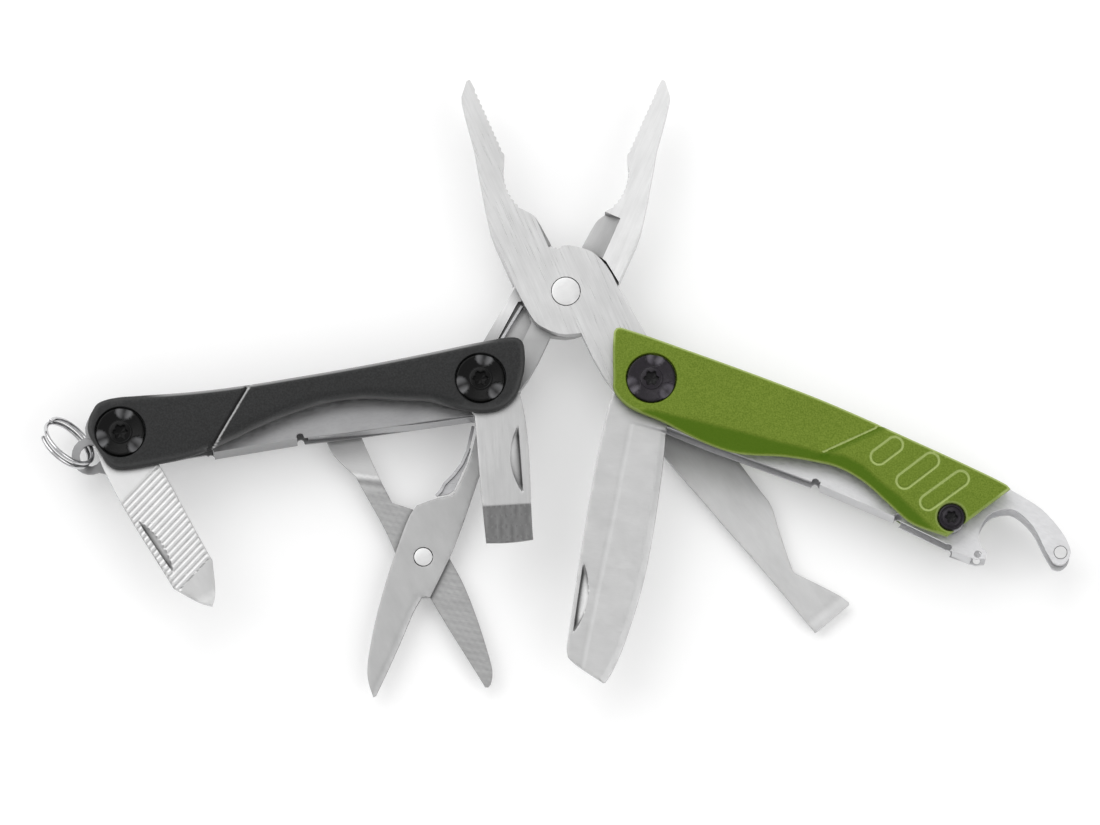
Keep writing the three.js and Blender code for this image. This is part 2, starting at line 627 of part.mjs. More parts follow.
const driver = groupAt(assembly, leftPivot, DRIVER_ANGLE);
const driverOutline = outline(
  curve([2, -2.6], [0, -3.2], [-2.4, -2.2], [-3.2, 0], [-2.6, 2.4], [-0.4, 4.2], [3, 5.4]),
  [17.5, 5.75],
  curve([22.5, 5.85], [22.75, 2.7], [22.6, -0.6]),
  [17.5, -0.8],
  [5, -1.1],
);
const driverBlade = cut(
  slab(driverOutline, Z.driver),
  disc([0, 0], POST_HOLE, THROUGH, FINE),
  bevelCut([17.6, 8], [17.6, -4], Z.driver[1], 0.42, 6),
  nick([6.75, 4.5], [16, 4.6], Z.driver[1], 0.5, 1.1),
);
piece(driver, 'flat_driver', driverBlade, 'steel');

const FILE_RIBS = 18;
const RIB_PITCH = 0.8;
const file = groupAt(leftHandle, LEFT_REAR, FILE_ANGLE - LEFT_ANGLE);
const fileOutline = outline(
  curve([0, -4], [-2.4, -3.2], [-3.1, -1], [-2.6, 1.2], [0, 2]),
  [21.6, 1.9],
  [26, -0.3],
  [27, -1.3],
  [26, -2.3],
  [22.2, -4.6],
  [6, -4.7],
);
const ribs = [];
for (let i = 0; i < FILE_RIBS; i += 1) {
  const w = 6.5 + RIB_PITCH * i;
  ribs.push(ribbon([[w, 2.4], [w + 2.2, -5]], 0.3, [Z.driver[1] - 0.13, ABOVE]));
}
const fileBlade = cut(
  slab(fileOutline, Z.driver),
  disc([0, 0], POST_HOLE, THROUGH, FINE),
  ...ribs,
  nick([12, -3.9], [20.2, -3.5], Z.driver[1], 0.45, 0.9),
);
piece(file, 'file', fileBlade, 'steel');

const scissors = groupAt(assembly, leftPivot, SCISSORS_ANGLE);
const scissorsOutline = outline(
  curve([6.4, 1.4], [3.2, 0.9], [2.4, -1.2], [0, -3], [-2.8, -1.4], [-2.8, 1.6], [0, 3.2], [3.5, 3.5]),
  [11.8, 3.7],
  [22.5, 3.6],
  [29.5, 2.85],
  [29.9, 1.75],
  curve([31.8, 1.4], [38.9, 0.9], [44.8, 0.3]),
  [45.1, 0],
  curve([43.5, -1.2], [41.4, -2.1], [34.3, -3.3], [25.3, -3.7], [19.4, -3.5]),
  [18, -3.1],
  [16.3, -1],
  curve([15.2, 0.8], [14.4, 1.3], [10.2, 1.65]),
);
const scissorsBlade = cut(
  slab(scissorsOutline, Z.scissors),
  disc([0, 0], POST_HOLE, THROUGH, FINE),
  disc(SCISSORS_RIVET, SCISSORS_RIVET_RADIUS + PLAY, THROUGH, FINE),
);
piece(scissors, 'scissors_blade', scissorsBlade, 'steel');
const rivetShaft = disc(SCISSORS_RIVET, SCISSORS_RIVET_RADIUS, [Z.lever[0], Z.scissors[1]], FINE);
piece(scissors, 'scissors_rivet', rivetShaft, 'polished');

const lever = groupAt(scissors, SCISSORS_RIVET, -SCISSORS_ANGLE);
const leverOutline = outline(
  [-13.7, 17],
  curve([-13.3, 16.2], [-12.3, 14.3], [-10.2, 12.2], [-9.3, 11.4]),
  [-3.8, 0.5],
  curve([-3.4, -1.6], [-1.6, -3.6], [0.9, -5.4]),
  [3.7, -10.1],
  [8.2, -17.4],
  curve([8.5, -17.9], [9, -17.9], [9.4, -17.2], [9.5, -15.8], [9.3, -14.7]),
  [5.8, -4.3],
  curve([3.5, 0.15], [1.6, 3.4], [-1.5, 6.8]),
  [-4.3, 7.7],
  [-6, 11.1],
  [-8.9, 17.7],
  [-10.6, 19.2],
);
const leverBlade = slab(leverOutline, Z.lever)
  .subtract(disc([0, 0], SCISSORS_RIVET_RADIUS + PLAY, THROUGH, FINE));
piece(lever, 'scissors_lever', leverBlade, 'steel');

// The spring is a leaf along the front arm with a lower web behind it; its foot bears on the blade.
const scissorsLeaf = [[5, 0.6], [8.5, 1], [10.5, 0.85], [12.4, 0.25], [13.9, -0.5], [15, -0.65], [15.8, -1]];
const scissorsWeb = outline(
  [8, 1],
  curve([10.5, 0.85], [12.4, 0.25], [13.9, -0.5]),
  [14.9, -0.6],
  [15.75, -0.8],
  [15, 0.5],
  [14.3, 1],
  [10.2, 1.4],
  [8, 1.3],
);
const scissorsSpring = ribbon(scissorsLeaf, 0.4, Z.scissors)
  .add(slab(scissorsWeb, [Z.scissors[0], Z.scissors[1] - 0.35]));
piece(scissors, 'scissors_spring', scissorsSpring, 'spring');

// ---------------------------------------------------------------- lanyard ring
const RING_RADIUS = 3.85; // middle of the wire
const WIRE = 0.36;
const RING_START = rad(-133); // where the wire's first end lies, opposite the ear
const RING_TURNS = 1.9;
const RING_CENTRE = [-57.15, 1.15, 6.15]; // in the left handle's frame
const RING_HEADING = -57; // direction of the ring's level diameter, in the left handle's frame
const RING_TILT = -57; // of the ring's plane about that diameter

class Coil extends THREE.Curve {
  getPoint(t, target = new THREE.Vector3()) {
    const angle = RING_START + 2 * Math.PI * RING_TURNS * t;
    const lift = (t - 0.5) * 2.3 * WIRE * RING_TURNS;
    return target.set(RING_RADIUS * Math.cos(angle), RING_RADIUS * Math.sin(angle), lift);
  }
}

function wireSection() {
  const shape = new THREE.Shape();
  for (let i = 0; i < 6; i += 1) {
    const angle = (Math.PI * i) / 3;
    if (i === 0) shape.moveTo(WIRE, 0);
    else shape.lineTo(WIRE * Math.cos(angle), WIRE * Math.sin(angle));
  }
  return shape;
}

const lanyard = new THREE.Group();
lanyard.position.set(...RING_CENTRE);
lanyard.rotation.set(rad(RING_TILT), 0, rad(RING_HEADING), 'ZYX');
leftHandle.add(lanyard);
const coilGeometry = new THREE.ExtrudeGeometry(wireSection(), {
  steps: 44,
  curveSegments: 1,
  bevelEnabled: false,
  extrudePath: new Coil(),
});
piece(lanyard, 'lanyard_ring', solid(coilGeometry), 'polished');

// The origin: middle of the bounding box's bottom.
const box = new THREE.Box3().setFromObject(assembly, true);
const middle = box.getCenter(new THREE.Vector3());
assembly.position.set(-middle.x, -middle.y, -box.min.z);
const part = new THREE.Group();
part.add(assembly);

export default part;
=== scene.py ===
"""Looks of the butterfly multi tool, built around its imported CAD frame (metres, +Z up)."""

import json
import math

import bmesh
import bpy
import numpy as np
from mathutils import Matrix, Vector
from mathutils.geometry import delaunay_2d_cdt


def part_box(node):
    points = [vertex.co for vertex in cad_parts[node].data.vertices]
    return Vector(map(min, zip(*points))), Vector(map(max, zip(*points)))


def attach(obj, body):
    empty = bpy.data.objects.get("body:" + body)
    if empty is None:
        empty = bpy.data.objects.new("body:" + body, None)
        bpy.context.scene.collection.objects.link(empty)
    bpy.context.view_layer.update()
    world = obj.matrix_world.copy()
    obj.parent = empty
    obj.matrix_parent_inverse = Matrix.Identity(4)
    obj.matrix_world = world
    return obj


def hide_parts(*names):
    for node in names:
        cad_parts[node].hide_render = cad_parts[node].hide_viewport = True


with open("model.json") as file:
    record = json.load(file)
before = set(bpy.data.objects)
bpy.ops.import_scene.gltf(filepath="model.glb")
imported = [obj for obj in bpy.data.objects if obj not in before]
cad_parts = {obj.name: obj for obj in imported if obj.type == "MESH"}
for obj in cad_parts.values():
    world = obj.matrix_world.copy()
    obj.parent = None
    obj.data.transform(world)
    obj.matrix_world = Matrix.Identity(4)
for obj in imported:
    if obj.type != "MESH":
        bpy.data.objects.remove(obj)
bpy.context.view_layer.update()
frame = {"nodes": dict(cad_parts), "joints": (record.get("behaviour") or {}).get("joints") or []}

MM = 0.001
JOINTS = {joint["name"]: joint for joint in frame["joints"]}
LEFT_ANGLE = math.radians(9)  # nose direction of the black handle
RIGHT_ANGLE = math.radians(-22.1)  # rear direction of the green handle


def joint_point(name):
    x, y, _ = JOINTS[name]["pos_m"]
    return Vector((x, y))


LEFT_PIVOT = joint_point("left_handle_fold")
LEFT_REAR = joint_point("file_fold")
RIGHT_PIVOT = joint_point("right_handle_fold")
PLIER_PIVOT = joint_point("jaw_grip")


def centre(node):
    low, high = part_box(node)
    return (low + high) / 2


RIGHT_END = centre("right_end_screw").xy


HANDLES = {"left": (LEFT_PIVOT, LEFT_ANGLE), "right": (RIGHT_PIVOT, RIGHT_ANGLE)}


def placed(origin, angle, points):
    """Points of a part's own frame (mm) in the row frame (m)."""
    turned = Matrix.Rotation(angle, 2)
    return [origin + turned @ Vector(p) * MM for p in points]


def handle_point(side, x, y):
    """A point of a handle's own frame (mm) in the row frame (m)."""
    return placed(*HANDLES[side], [(x, y)])[0]


# ---------------------------------------------------------------- outlines cut from the CAD
CORNER = math.radians(32)  # on a scale, a sharper turn than this is a real corner
TOOL_CORNER = math.radians(19)  # the same on a tool
STRAIGHT = math.radians(0.4)  # a turn smaller than this is no turn
TINY = 1e-9  # a length (m) too short to have a direction
FAR = 1e9  # beyond any distance here


def section_loops(node, level):
    """Closed loops (m) where a CAD node crosses a height (mm)."""
    mesh = bmesh.new()
    mesh.from_mesh(frame["nodes"][node].data)
    bmesh.ops.bisect_plane(
        mesh,
        geom=mesh.verts[:] + mesh.edges[:] + mesh.faces[:],
        plane_co=(0, 0, level * MM),
        plane_no=(0, 0, 1),
        clear_inner=True,
        clear_outer=True,
    )
    bmesh.ops.remove_doubles(mesh, verts=mesh.verts, dist=0.002 * MM)
    loops = []
    waiting = set(mesh.verts)
    while waiting:
        start = min(waiting, key=lambda v: (round(v.co.x, 7), round(v.co.y, 7)))
        loop = [start]
        waiting.discard(start)
        here = start
        while True:
            onward = [e.other_vert(here) for e in here.link_edges]
            onward = [v for v in onward if v in waiting]
            if not onward:
                break
            here = onward[0]
            waiting.discard(here)
            loop.append(here)
        loops.append([Vector(v.co.xy) for v in loop])
    mesh.free()
    return [loop for loop in loops if len(loop) > 2]


def turn_at(before, here, after):
    first = here - before
    second = after - here
    if first.length < TINY or second.length < TINY:
        return 0.0
    return abs(first.angle(second))


def catmull(p0, p1, p2, p3, t):
    """A point of the Catmull-Rom curve from p1 to p2."""
    return 0.5 * (
        2 * p1
        + (p2 - p0) * t
        + (2 * p0 - 5 * p1 + 4 * p2 - p3) * t * t
        + (3 * p1 - p0 - 3 * p2 + p3) * t * t * t
    )


def straightened(loop):
    """Drops the points that lie on a straight run."""
    kept = []
    count = len(loop)
    for i, here in enumerate(loop):
        if turn_at(loop[i - 1], here, loop[(i + 1) % count]) > STRAIGHT:
            kept.append(here)
    return kept


def smoothed(loop, spacing, corner):
    """The loop with its faceted curves made round; real corners stay sharp."""
    loop = straightened(loop)
    count = len(loop)
    sharp = [turn_at(loop[i - 1], loop[i], loop[(i + 1) % count]) > corner for i in range(count)]
    fine = []
    for i, p1 in enumerate(loop):
        p2 = loop[(i + 1) % count]
        p0 = p1 - (p2 - p1) if sharp[i] else loop[i - 1]
        p3 = p2 + (p2 - p1) if sharp[(i + 1) % count] else loop[(i + 2) % count]
        reach = (p2 - p1).length
        p0 = p1 + (p0 - p1).normalized() * reach if (p0 - p1).length > TINY else p0
        p3 = p2 + (p3 - p2).normalized() * reach if (p3 - p2).length > TINY else p3
        steps = max(1, round(reach / (spacing * MM)))
        for step in range(steps):
            fine.append(catmull(p0, p1, p2, p3, step / steps))
    return fine


def inside_and_distance(points, loops):
    """Whether each point is inside the loops, and its distance (m) to the nearest edge."""
    starts = np.array([p for loop in loops for p in loop])
    ends = np.array([p for loop in loops for p in loop[1:] + loop[:1]])
    span = ends - starts
    crossings = np.zeros(len(points), int)
    nearest = np.full(len(points), FAR)
    for a, b, d in zip(starts, ends, span):
        straddles = (a[1] > points[:, 1]) != (b[1] > points[:, 1])
        if d[1] != 0:
            crossings += straddles & (points[:, 0] < a[0] + (points[:, 1] - a[1]) * d[0] / d[1])
        t = np.clip(((points - a) @ d) / max(d @ d, 1e-18), 0, 1)
        nearest = np.minimum(nearest, np.linalg.norm(points - (a + t[:, None] * d), axis=1))
    return crossings % 2 == 1, nearest


def edge_drop(distance, radius):
    """How far (mm) a rounded edge of this radius lies below the face at a distance (mm) from the side."""
    reach = np.clip(radius - distance, 0, radius)
    return radius - np.sqrt(np.maximum(radius * radius - reach * reach, 0))


OUTLINE_STEP = 0.4  # longest step (mm) along an outline
RIM_ROWS = (0.12, 0.4, 0.7, 1.0)  # rows of points within a rounded rim, as shares of its radius
LEAST_RIM = 0.12  # the plain grid of points keeps at least this (mm) off a rim
NEAREST_POINT = 0.012  # a point nearer to an outline than this (mm) is dropped


class Builder:
    """Collects closed plates into one mesh."""

    def __init__(self):
        self.vertices = []
        self.faces = []
        self.painted_lights = []

    def plate(self, loops, low, high, edges=(0.06, 0.06), spacing=0.6, top=None, bottom=None,
              extra=(), painted_light=None, hole_edge=None, corner=CORNER):
        """A slab between two heights (mm); edges are the rounding radii (low, high) of its rims.
        top and bottom are functions of the points, and so is the painted light (painted highlight above 0,
        painted shade below 0); holes may have a rounding of their own."""
        if corner:
            loops = [smoothed(loop, min(spacing, OUTLINE_STEP), corner) for loop in loops]
        hole_edge = max(edges) if hole_edge is None else hole_edge
        every = np.array([p for loop in loops for p in loop])
        lowest = every.min(0)
        highest = every.max(0)
        grid = np.array([
            (x, y)
            for i, x in enumerate(np.arange(lowest[0], highest[0], spacing * MM))
            for y in np.arange(lowest[1] + (i % 2) * spacing * MM / 2, highest[1], spacing * MM)
        ]).reshape(-1, 2)
        if len(extra):
            grid = np.vstack([grid, np.array(extra).reshape(-1, 2)])
        bands = []
        for number, loop in enumerate(loops):
            reach = max(edges) if number == 0 else hole_edge
            for share in RIM_ROWS:
                if reach > 0:
                    bands.append(self.beside(loop, reach * share * MM))
        inside, distance = inside_and_distance(grid, loops)
        clear = max(*edges, LEAST_RIM) * 1.3 * MM
        free = np.vstack([grid[inside & (distance > clear)]] + bands)
        inside, distance = inside_and_distance(free, loops)
        free = free[inside & (distance > NEAREST_POINT * MM)]
        coords = [Vector(p) for loop in loops for p in loop]
        border = []
        first = 0
        for loop in loops:
            border += [(first + i, first + (i + 1) % len(loop)) for i in range(len(loop))]
            first += len(loop)
        coords += [Vector(p) for p in free]
        flat, _, triangles, _, _, _ = delaunay_2d_cdt([c * (1 / MM) for c in coords], border, [], 0, 1e-5)
        flat = np.array([(v.x, v.y) for v in flat]) * MM
        middles = np.array([flat[list(t)].mean(0) for t in triangles])
        keep, _ = inside_and_distance(middles, loops)
        triangles = [t for t, k in zip(triangles, keep) if k]
        _, outer = inside_and_distance(flat, loops[:1])
        z_high = high - edge_drop(outer / MM, edges[1]) + (top(flat) if top else 0)
        z_low = low + edge_drop(outer / MM, edges[0]) + (bottom(flat) if bottom else 0)
        painted_lights = painted_light(flat, outer / MM) if painted_light else np.zeros(len(flat))
        if len(loops) > 1:
            _, hole = inside_and_distance(flat, loops[1:])
            z_high = z_high - edge_drop(hole / MM, min(hole_edge, edges[1]))
            z_low = z_low + edge_drop(hole / MM, min(hole_edge, edges[0]))
        self.close(flat, triangles, z_low, z_high, painted_lights)

    @staticmethod
    def beside(loop, depth):
        """Points at a distance on both sides of a loop."""
        points = []
        count = len(loop)
        for i, here in enumerate(loop):
            along = (loop[(i + 1) % count] - loop[i - 1]).normalized()
            across = Vector((-along.y, along.x)) * depth
            points += [here + across, here - across]
        return np.array(points)

    def close(self, flat, triangles, z_low, z_high, painted_lights):
        """Adds the triangles as a top and a bottom sheet, with walls between their free edges."""
        used = sorted({i for t in triangles for i in t})
        place = {old: new for new, old in enumerate(used)}
        base = len(self.vertices)
        count = len(used)
        self.vertices += [(flat[i][0], flat[i][1], z_high[i] * MM) for i in used]
        self.vertices += [(flat[i][0], flat[i][1], z_low[i] * MM) for i in used]
        self.painted_lights += [painted_lights[i] for i in used] + [0.0] * count
        directed = set()
        for a, b, c in triangles:
            a, b, c = place[a], place[b], place[c]
            pa, pb, pc = (Vector(self.vertices[base + i]).xy for i in (a, b, c))
            if (pb - pa).cross(pc - pa) < 0:
                b, c = c, b
            self.faces.append((base + a, base + b, base + c))
            self.faces.append((base + count + c, base + count + b, base + count + a))
            directed |= {(a, b), (b, c), (c, a)}
        for a, b in directed:
            if (b, a) not in directed:
                self.faces.append((base + b, base + a, base + count + a, base + count + b))

    def surface(self, points, faces, painted_lights=None):
        """Adds ready-made points and faces."""
        base = len(self.vertices)
        self.vertices += [tuple(p) for p in points]
        self.faces += [tuple(base + i for i in face) for face in faces]
        self.painted_lights += painted_lights or [0.0] * len(points)

    def finish(self, name, material, body, node, smooth=28):
        """Makes the mesh object, which rides on a body in place of a CAD node."""
        mesh = bpy.data.meshes.new(name)
        mesh.from_pydata(self.vertices, [], self.faces)
        # Each point's painted light: painted highlight above 0, painted shade below 0.
        painted_light = mesh.attributes.new("painted_light", "FLOAT", "POINT")
        painted_light.data.foreach_set("value", np.array(self.painted_lights, dtype=np.float32))
        made = bmesh.new()
        made.from_mesh(mesh)
        bmesh.ops.recalc_face_normals(made, faces=made.faces)
        made.to_mesh(mesh)
        made.free()
        mesh.polygons.foreach_set("use_smooth", [True] * len(mesh.polygons))
        mesh.set_sharp_from_angle(angle=math.radians(smooth))
        mesh.materials.append(material)
        piece = bpy.data.objects.new(name, mesh)
        bpy.context.scene.collection.objects.link(piece)
        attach(piece, body)
        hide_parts(node)


# ---------------------------------------------------------------- relief helpers (handle frames, mm)
def handle_local(side, points):
    return tool_local(*HANDLES[side], points)


def tool_local(origin, angle, points):
    """Points of the row frame (m) in a part's own frame (mm): the reverse of placed."""
    moved = (points - np.array(origin)) / MM
    cosine = math.cos(angle)
    sine = math.sin(angle)
    return np.stack([moved[:, 0] * cosine + moved[:, 1] * sine, moved[:, 1] * cosine - moved[:, 0] * sine], 1)


def line_distance(points, path):
    """Distance (mm) to a polyline, and which side: positive to its left."""
    nearest = np.full(len(points), FAR)
    side = np.zeros(len(points))
    for a, b in zip(path[:-1], path[1:]):
        a = np.array(a)
        d = np.array(b) - a
        t = np.clip(((points - a) @ d) / (d @ d), 0, 1)
        gap = points - (a + t[:, None] * d)
        reach = np.linalg.norm(gap, axis=1)
        closer = reach < nearest
        nearest = np.where(closer, reach, nearest)
        turned = d[0] * (points[:, 1] - a[1]) - d[1] * (points[:, 0] - a[0])
        side = np.where(closer, np.sign(turned), side)
    return nearest, side


def valley(distance, width, depth):
    """A smooth groove of half-width and depth."""
    t = np.clip(distance / width, 0, 1)
    return -depth * (1 - t * t) ** 2


def ramp(value, low, high):
    t = np.clip((value - low) / (high - low), 0, 1)
    return t * t * (3 - 2 * t)


def along_path(side, path, offsets, step=0.3):
    """Extra mesh points (m) in rows beside a polyline (mm), so that a narrow feature is sharp."""
    points = []
    for a, b in zip(path[:-1], path[1:]):
        a = Vector(a)
        b = Vector(b)
        direction = (b - a).normalized()
        across = Vector((-direction.y, direction.x))
        for i in range(int((b - a).length / step) + 1):
            for offset in offsets:
                points.append(handle_point(side, *(a + direction * step * i + across * offset)))
    return points


# ---------------------------------------------------------------- materials
def new_material(name):
    material = bpy.data.materials.new(name)
    material.use_nodes = True
    return material, material.node_tree, material.node_tree.nodes["Principled BSDF"]


def texture_space(tree, angle=0.0, scale=(1, 1, 1)):
    coordinates = tree.nodes.new("ShaderNodeTexCoord")
    turned = tree.nodes.new("ShaderNodeMapping")
    turned.inputs["Rotation"].default_value = (0, 0, -angle)
    stretched = tree.nodes.new("ShaderNodeMapping")
    stretched.inputs["Scale"].default_value = scale
    tree.links.new(coordinates.outputs["Object"], turned.inputs["Vector"])
    tree.links.new(turned.outputs["Vector"], stretched.inputs["Vector"])
    return stretched.outputs["Vector"]


def noise(tree, vector, scale=1.0, detail=3.0, roughness=0.55):
    node = tree.nodes.new("ShaderNodeTexNoise")
    node.inputs["Scale"].default_value = scale
    node.inputs["Detail"].default_value = detail
    node.inputs["Roughness"].default_value = roughness
    tree.links.new(vector, node.inputs["Vector"])
    return node.outputs["Fac"]


def spread(tree, value, low, high, from_low=0.3, from_high=0.7):
    node = tree.nodes.new("ShaderNodeMapRange")
    node.inputs["From Min"].default_value = from_low
    node.inputs["From Max"].default_value = from_high
    node.inputs["To Min"].default_value = low
    node.inputs["To Max"].default_value = high
    tree.links.new(value, node.inputs["Value"])
    return node.outputs["Result"]


def mixed(tree, factor, first, second):
    node = tree.nodes.new("ShaderNodeMix")
    node.data_type = "RGBA"
    if isinstance(factor, float):
        node.inputs["Factor"].default_value = factor
    else:
        tree.links.new(factor, node.inputs["Factor"])
    for socket, colour in (("A", first), ("B", second)):
        target = [s for s in node.inputs if s.name == socket and s.type == "RGBA"][0]
        if isinstance(colour, tuple):
            target.default_value = (*colour, 1)
        else:
            tree.links.new(colour, target)
    return [s for s in node.outputs if s.type == "RGBA"][0]


def bump(tree, height, distance, strength=1.0, normal=None):
    node = tree.nodes.new("ShaderNodeBump")
    node.inputs["Strength"].default_value = strength
    node.inputs["Distance"].default_value = distance
    tree.links.new(height, node.inputs["Height"])
    if normal is not None:
        tree.links.new(normal, node.inputs["Normal"])
    return node.outputs["Normal"]


def with_painted_light(tree, base, light, dark):
    """Paints light into a colour: a painted highlight where a piece's painted-light value is above zero,
    painted shade where it is below.
    """
    attribute = tree.nodes.new("ShaderNodeAttribute")
    attribute.attribute_name = "painted_light"
    raised = mixed(tree, spread(tree, attribute.outputs["Fac"], 0.0, 1.0, 0.0, 1.0), base, light)
    return mixed(tree, spread(tree, attribute.outputs["Fac"], 0.0, 1.0, 0.0, -1.0), raised, dark)


def crevice_shade(tree, open_colour, reach, deepest):
    """Paints shade into a colour where other surfaces stand close in front of it."""
    closeness = tree.nodes.new("ShaderNodeAmbientOcclusion")
    closeness.samples = 6
    closeness.inputs["Distance"].default_value = reach
    return mixed(tree, spread(tree, closeness.outputs["AO"], 0.0, 1.0, 0.25, 0.9), deepest, open_colour)


def scaled(colour, share):
    return tuple(min(1.0, c * share) for c in colour)


def steel(name, angle, colour, rough, streak, length, width, darker_below=None, reach=1.0):
    """Stainless steel with grinding streaks along angle; length and width of a streak in mm.
    rough is its roughness, and streak is how much of the colour's range the streaks use.
    The pair of places along y (m) makes the steel darker below the first than above the second.
    reach is how near (mm) another surface has to stand in front of a place to paint shade on it."""
    material, tree, surface = new_material(name)
    surface.inputs["Metallic"].default_value = 1.0
    along = texture_space(tree, angle, (1 / (length * MM), 1 / (width * MM), 1 / (width * MM)))
    streaks = noise(tree, along, 1.0, 2.0)
    cloud = noise(tree, texture_space(tree, angle, (1, 2.2, 1)), 210.0, 4.0)
    grain = noise(tree, texture_space(tree), 5200.0, 2.0)
    shares = spread(tree, streaks, 0.5 - streak / 2, 0.5 + streak / 2)
    base = mixed(tree, shares, scaled(colour, 0.86), scaled(colour, 1.1))
    patchy = mixed(tree, spread(tree, cloud, 0.0, 0.42), base, scaled(colour, 0.74))
    if darker_below:
        # darker towards low y
        place = tree.nodes.new("ShaderNodeSeparateXYZ")
        tree.links.new(texture_space(tree), place.inputs["Vector"])
        darkening_below = spread(tree, place.outputs["Y"], 0.85, 0.0, *darker_below)
        patchy = mixed(tree, darkening_below, patchy, scaled(colour, 0.42))
    # painted highlights and painted shade from the piece's painted-light values
    shade = with_painted_light(tree, patchy, (0.9, 0.9, 0.9), scaled(colour, 0.3))
    # painted shade in crevices, between plates and under the scales, where other surfaces stand close in
    # front
    mottle_and_shade = crevice_shade(tree, shade, reach * MM, scaled(colour, 0.3))
    tree.links.new(mottle_and_shade, surface.inputs["Base Color"])
    tree.links.new(spread(tree, streaks, rough - 0.07, rough + 0.09), surface.inputs["Roughness"])
    first = bump(tree, streaks, 0.003 * MM, 0.5)
    tree.links.new(bump(tree, grain, 0.004 * MM, 0.5, first), surface.inputs["Normal"])
    return material


def coated(name, colour, speck, rough, grain_mm, relief_mm, metallic=0.0, flake=0.0,
           light=(0.5, 0.5, 0.5), dark=(0.005, 0.005, 0.005), gloss=0.5):
    """A sprayed or anodised coat: fine grain in colour, gloss and relief. light and dark are the colours of
    its painted highlights and painted shade.
    """
    material, tree, surface = new_material(name)
    space = texture_space(tree)
    grain = noise(tree, space, 1 / (grain_mm * MM), 2.0, 0.6)
    cloud = noise(tree, space, 90.0, 3.0)
    base = mixed(tree, spread(tree, grain, 0.0, 1.0, 0.36, 0.68), colour, speck)
    mottle_and_shade = mixed(tree, spread(tree, cloud, 0.0, 0.16), base, scaled(colour, 0.7))
    # painted highlights towards light and painted shade towards dark, from the piece's painted-light values
    tree.links.new(with_painted_light(tree, mottle_and_shade, light, dark), surface.inputs["Base Color"])
    tree.links.new(spread(tree, grain, rough + 0.08, rough - 0.06), surface.inputs["Roughness"])
    surface.inputs["Metallic"].default_value = metallic
    surface.inputs["Specular IOR Level"].default_value = gloss
    surface.inputs["Coat Weight"].default_value = flake
    surface.inputs["Coat Roughness"].default_value = 0.3
    tree.links.new(bump(tree, grain, relief_mm * MM, 0.7), surface.inputs["Normal"])
    return material


FINISHES = {
    "front_jaw": steel("steel_front_jaw", math.radians(113.6), (0.6, 0.6, 0.6), 0.34, 0.55, 5, 0.12),
    # The back jaw is darker towards low y, and its painted crevice shade reaches 2.4 mm.
    "back_jaw": steel(
        "steel_back_jaw", math.radians(66.4), (0.72, 0.72, 0.72), 0.36, 0.35, 5, 0.12,
        darker_below=(PLIER_PIVOT.y - 6.5 * MM, PLIER_PIVOT.y - 2 * MM), reach=2.4,
    ),
    "left_frame": steel("steel_left_frame", LEFT_ANGLE, (0.34, 0.34, 0.345), 0.42, 0.6, 0.7, 0.25),
    "right_frame": steel("steel_right_frame", RIGHT_ANGLE, (0.68, 0.68, 0.69), 0.42, 0.45, 0.7, 0.25),
    "knife_blade": steel("steel_knife", math.radians(-7.9), (0.53, 0.53, 0.53), 0.38, 0.3, 1.6, 0.07),
    "package_opener": steel("steel_opener", math.radians(-51.6), (0.56, 0.56, 0.56), 0.42, 0.35, 3, 0.12),
    "flat_driver": steel("steel_driver", math.radians(-86.5), (0.5, 0.5, 0.5), 0.38, 0.4, 4, 0.1),
    "file": steel("steel_file", math.radians(-59.3), (0.56, 0.56, 0.56), 0.38, 0.2, 2, 0.1),
    "scissors_blade": steel("steel_scissors", math.radians(-60), (0.44, 0.44, 0.44), 0.44, 0.2, 1, 0.2),
    "scissors_lever": steel("steel_lever", math.radians(-12), (0.41, 0.41, 0.41), 0.42, 0.75, 1.5, 0.16),
}
SPRING_STEEL = steel("steel_spring", 0, (0.5, 0.5, 0.51), 0.32, 0.2, 2, 0.2)
WASHER_STEEL = steel("steel_washer", 0, (0.46, 0.46, 0.47), 0.4, 0.2, 1, 0.3)
POLISHED = steel("steel_polished", 0, (0.7, 0.7, 0.71), 0.16, 0.12, 1.5, 0.2)
RIVET_STEEL = steel("steel_rivet", 0.4, (0.7, 0.7, 0.7), 0.4, 0.15, 0.8, 0.3)
BLACK = coated("black_coat", (0.0085, 0.0088, 0.009), (0.017, 0.0175, 0.018), 0.5, 0.24, 0.025, gloss=0.3)
GREEN = coated(
    "green_coat", (0.108, 0.168, 0.012), (0.176, 0.245, 0.03), 0.45, 0.2, 0.03, 0.05,
    light=(0.52, 0.62, 0.24), dark=(0.055, 0.12, 0.0), gloss=0.12,
)
BLACK_SCREW = coated(
    "black_screw", (0.002, 0.002, 0.002), (0.004, 0.004, 0.004), 0.2, 0.5, 0.004,
    light=(0.16, 0.16, 0.165), dark=(0.0006, 0.0006, 0.0006), gloss=0.14,
)
DARK_SCREW = coated(
    "dark_screw", (0.010, 0.008, 0.011), (0.021, 0.017, 0.023), 0.26, 0.4, 0.006, 0.1,
    light=(0.12, 0.11, 0.13), dark=(0.0015, 0.001, 0.0015), gloss=0.25,
)

for name, node in frame["nodes"].items():
    if name in FINISHES:
        finish = FINISHES[name]
    elif "spring" in name:
        finish = SPRING_STEEL
    elif "washer" in name or "spacer" in name:
        finish = WASHER_STEEL
    elif name in ("plier_rivet", "scissors_rivet", "hook_pin"):
        finish = RIVET_STEEL
    elif name == "lanyard_ring":
        finish = POLISHED
    elif "scale" in name:
        finish = BLACK if name.startswith("left") else GREEN
    else:
        finish = BLACK_SCREW if name.startswith("left") else DARK_SCREW
    node.data.materials.clear()
    node.data.materials.append(finish)


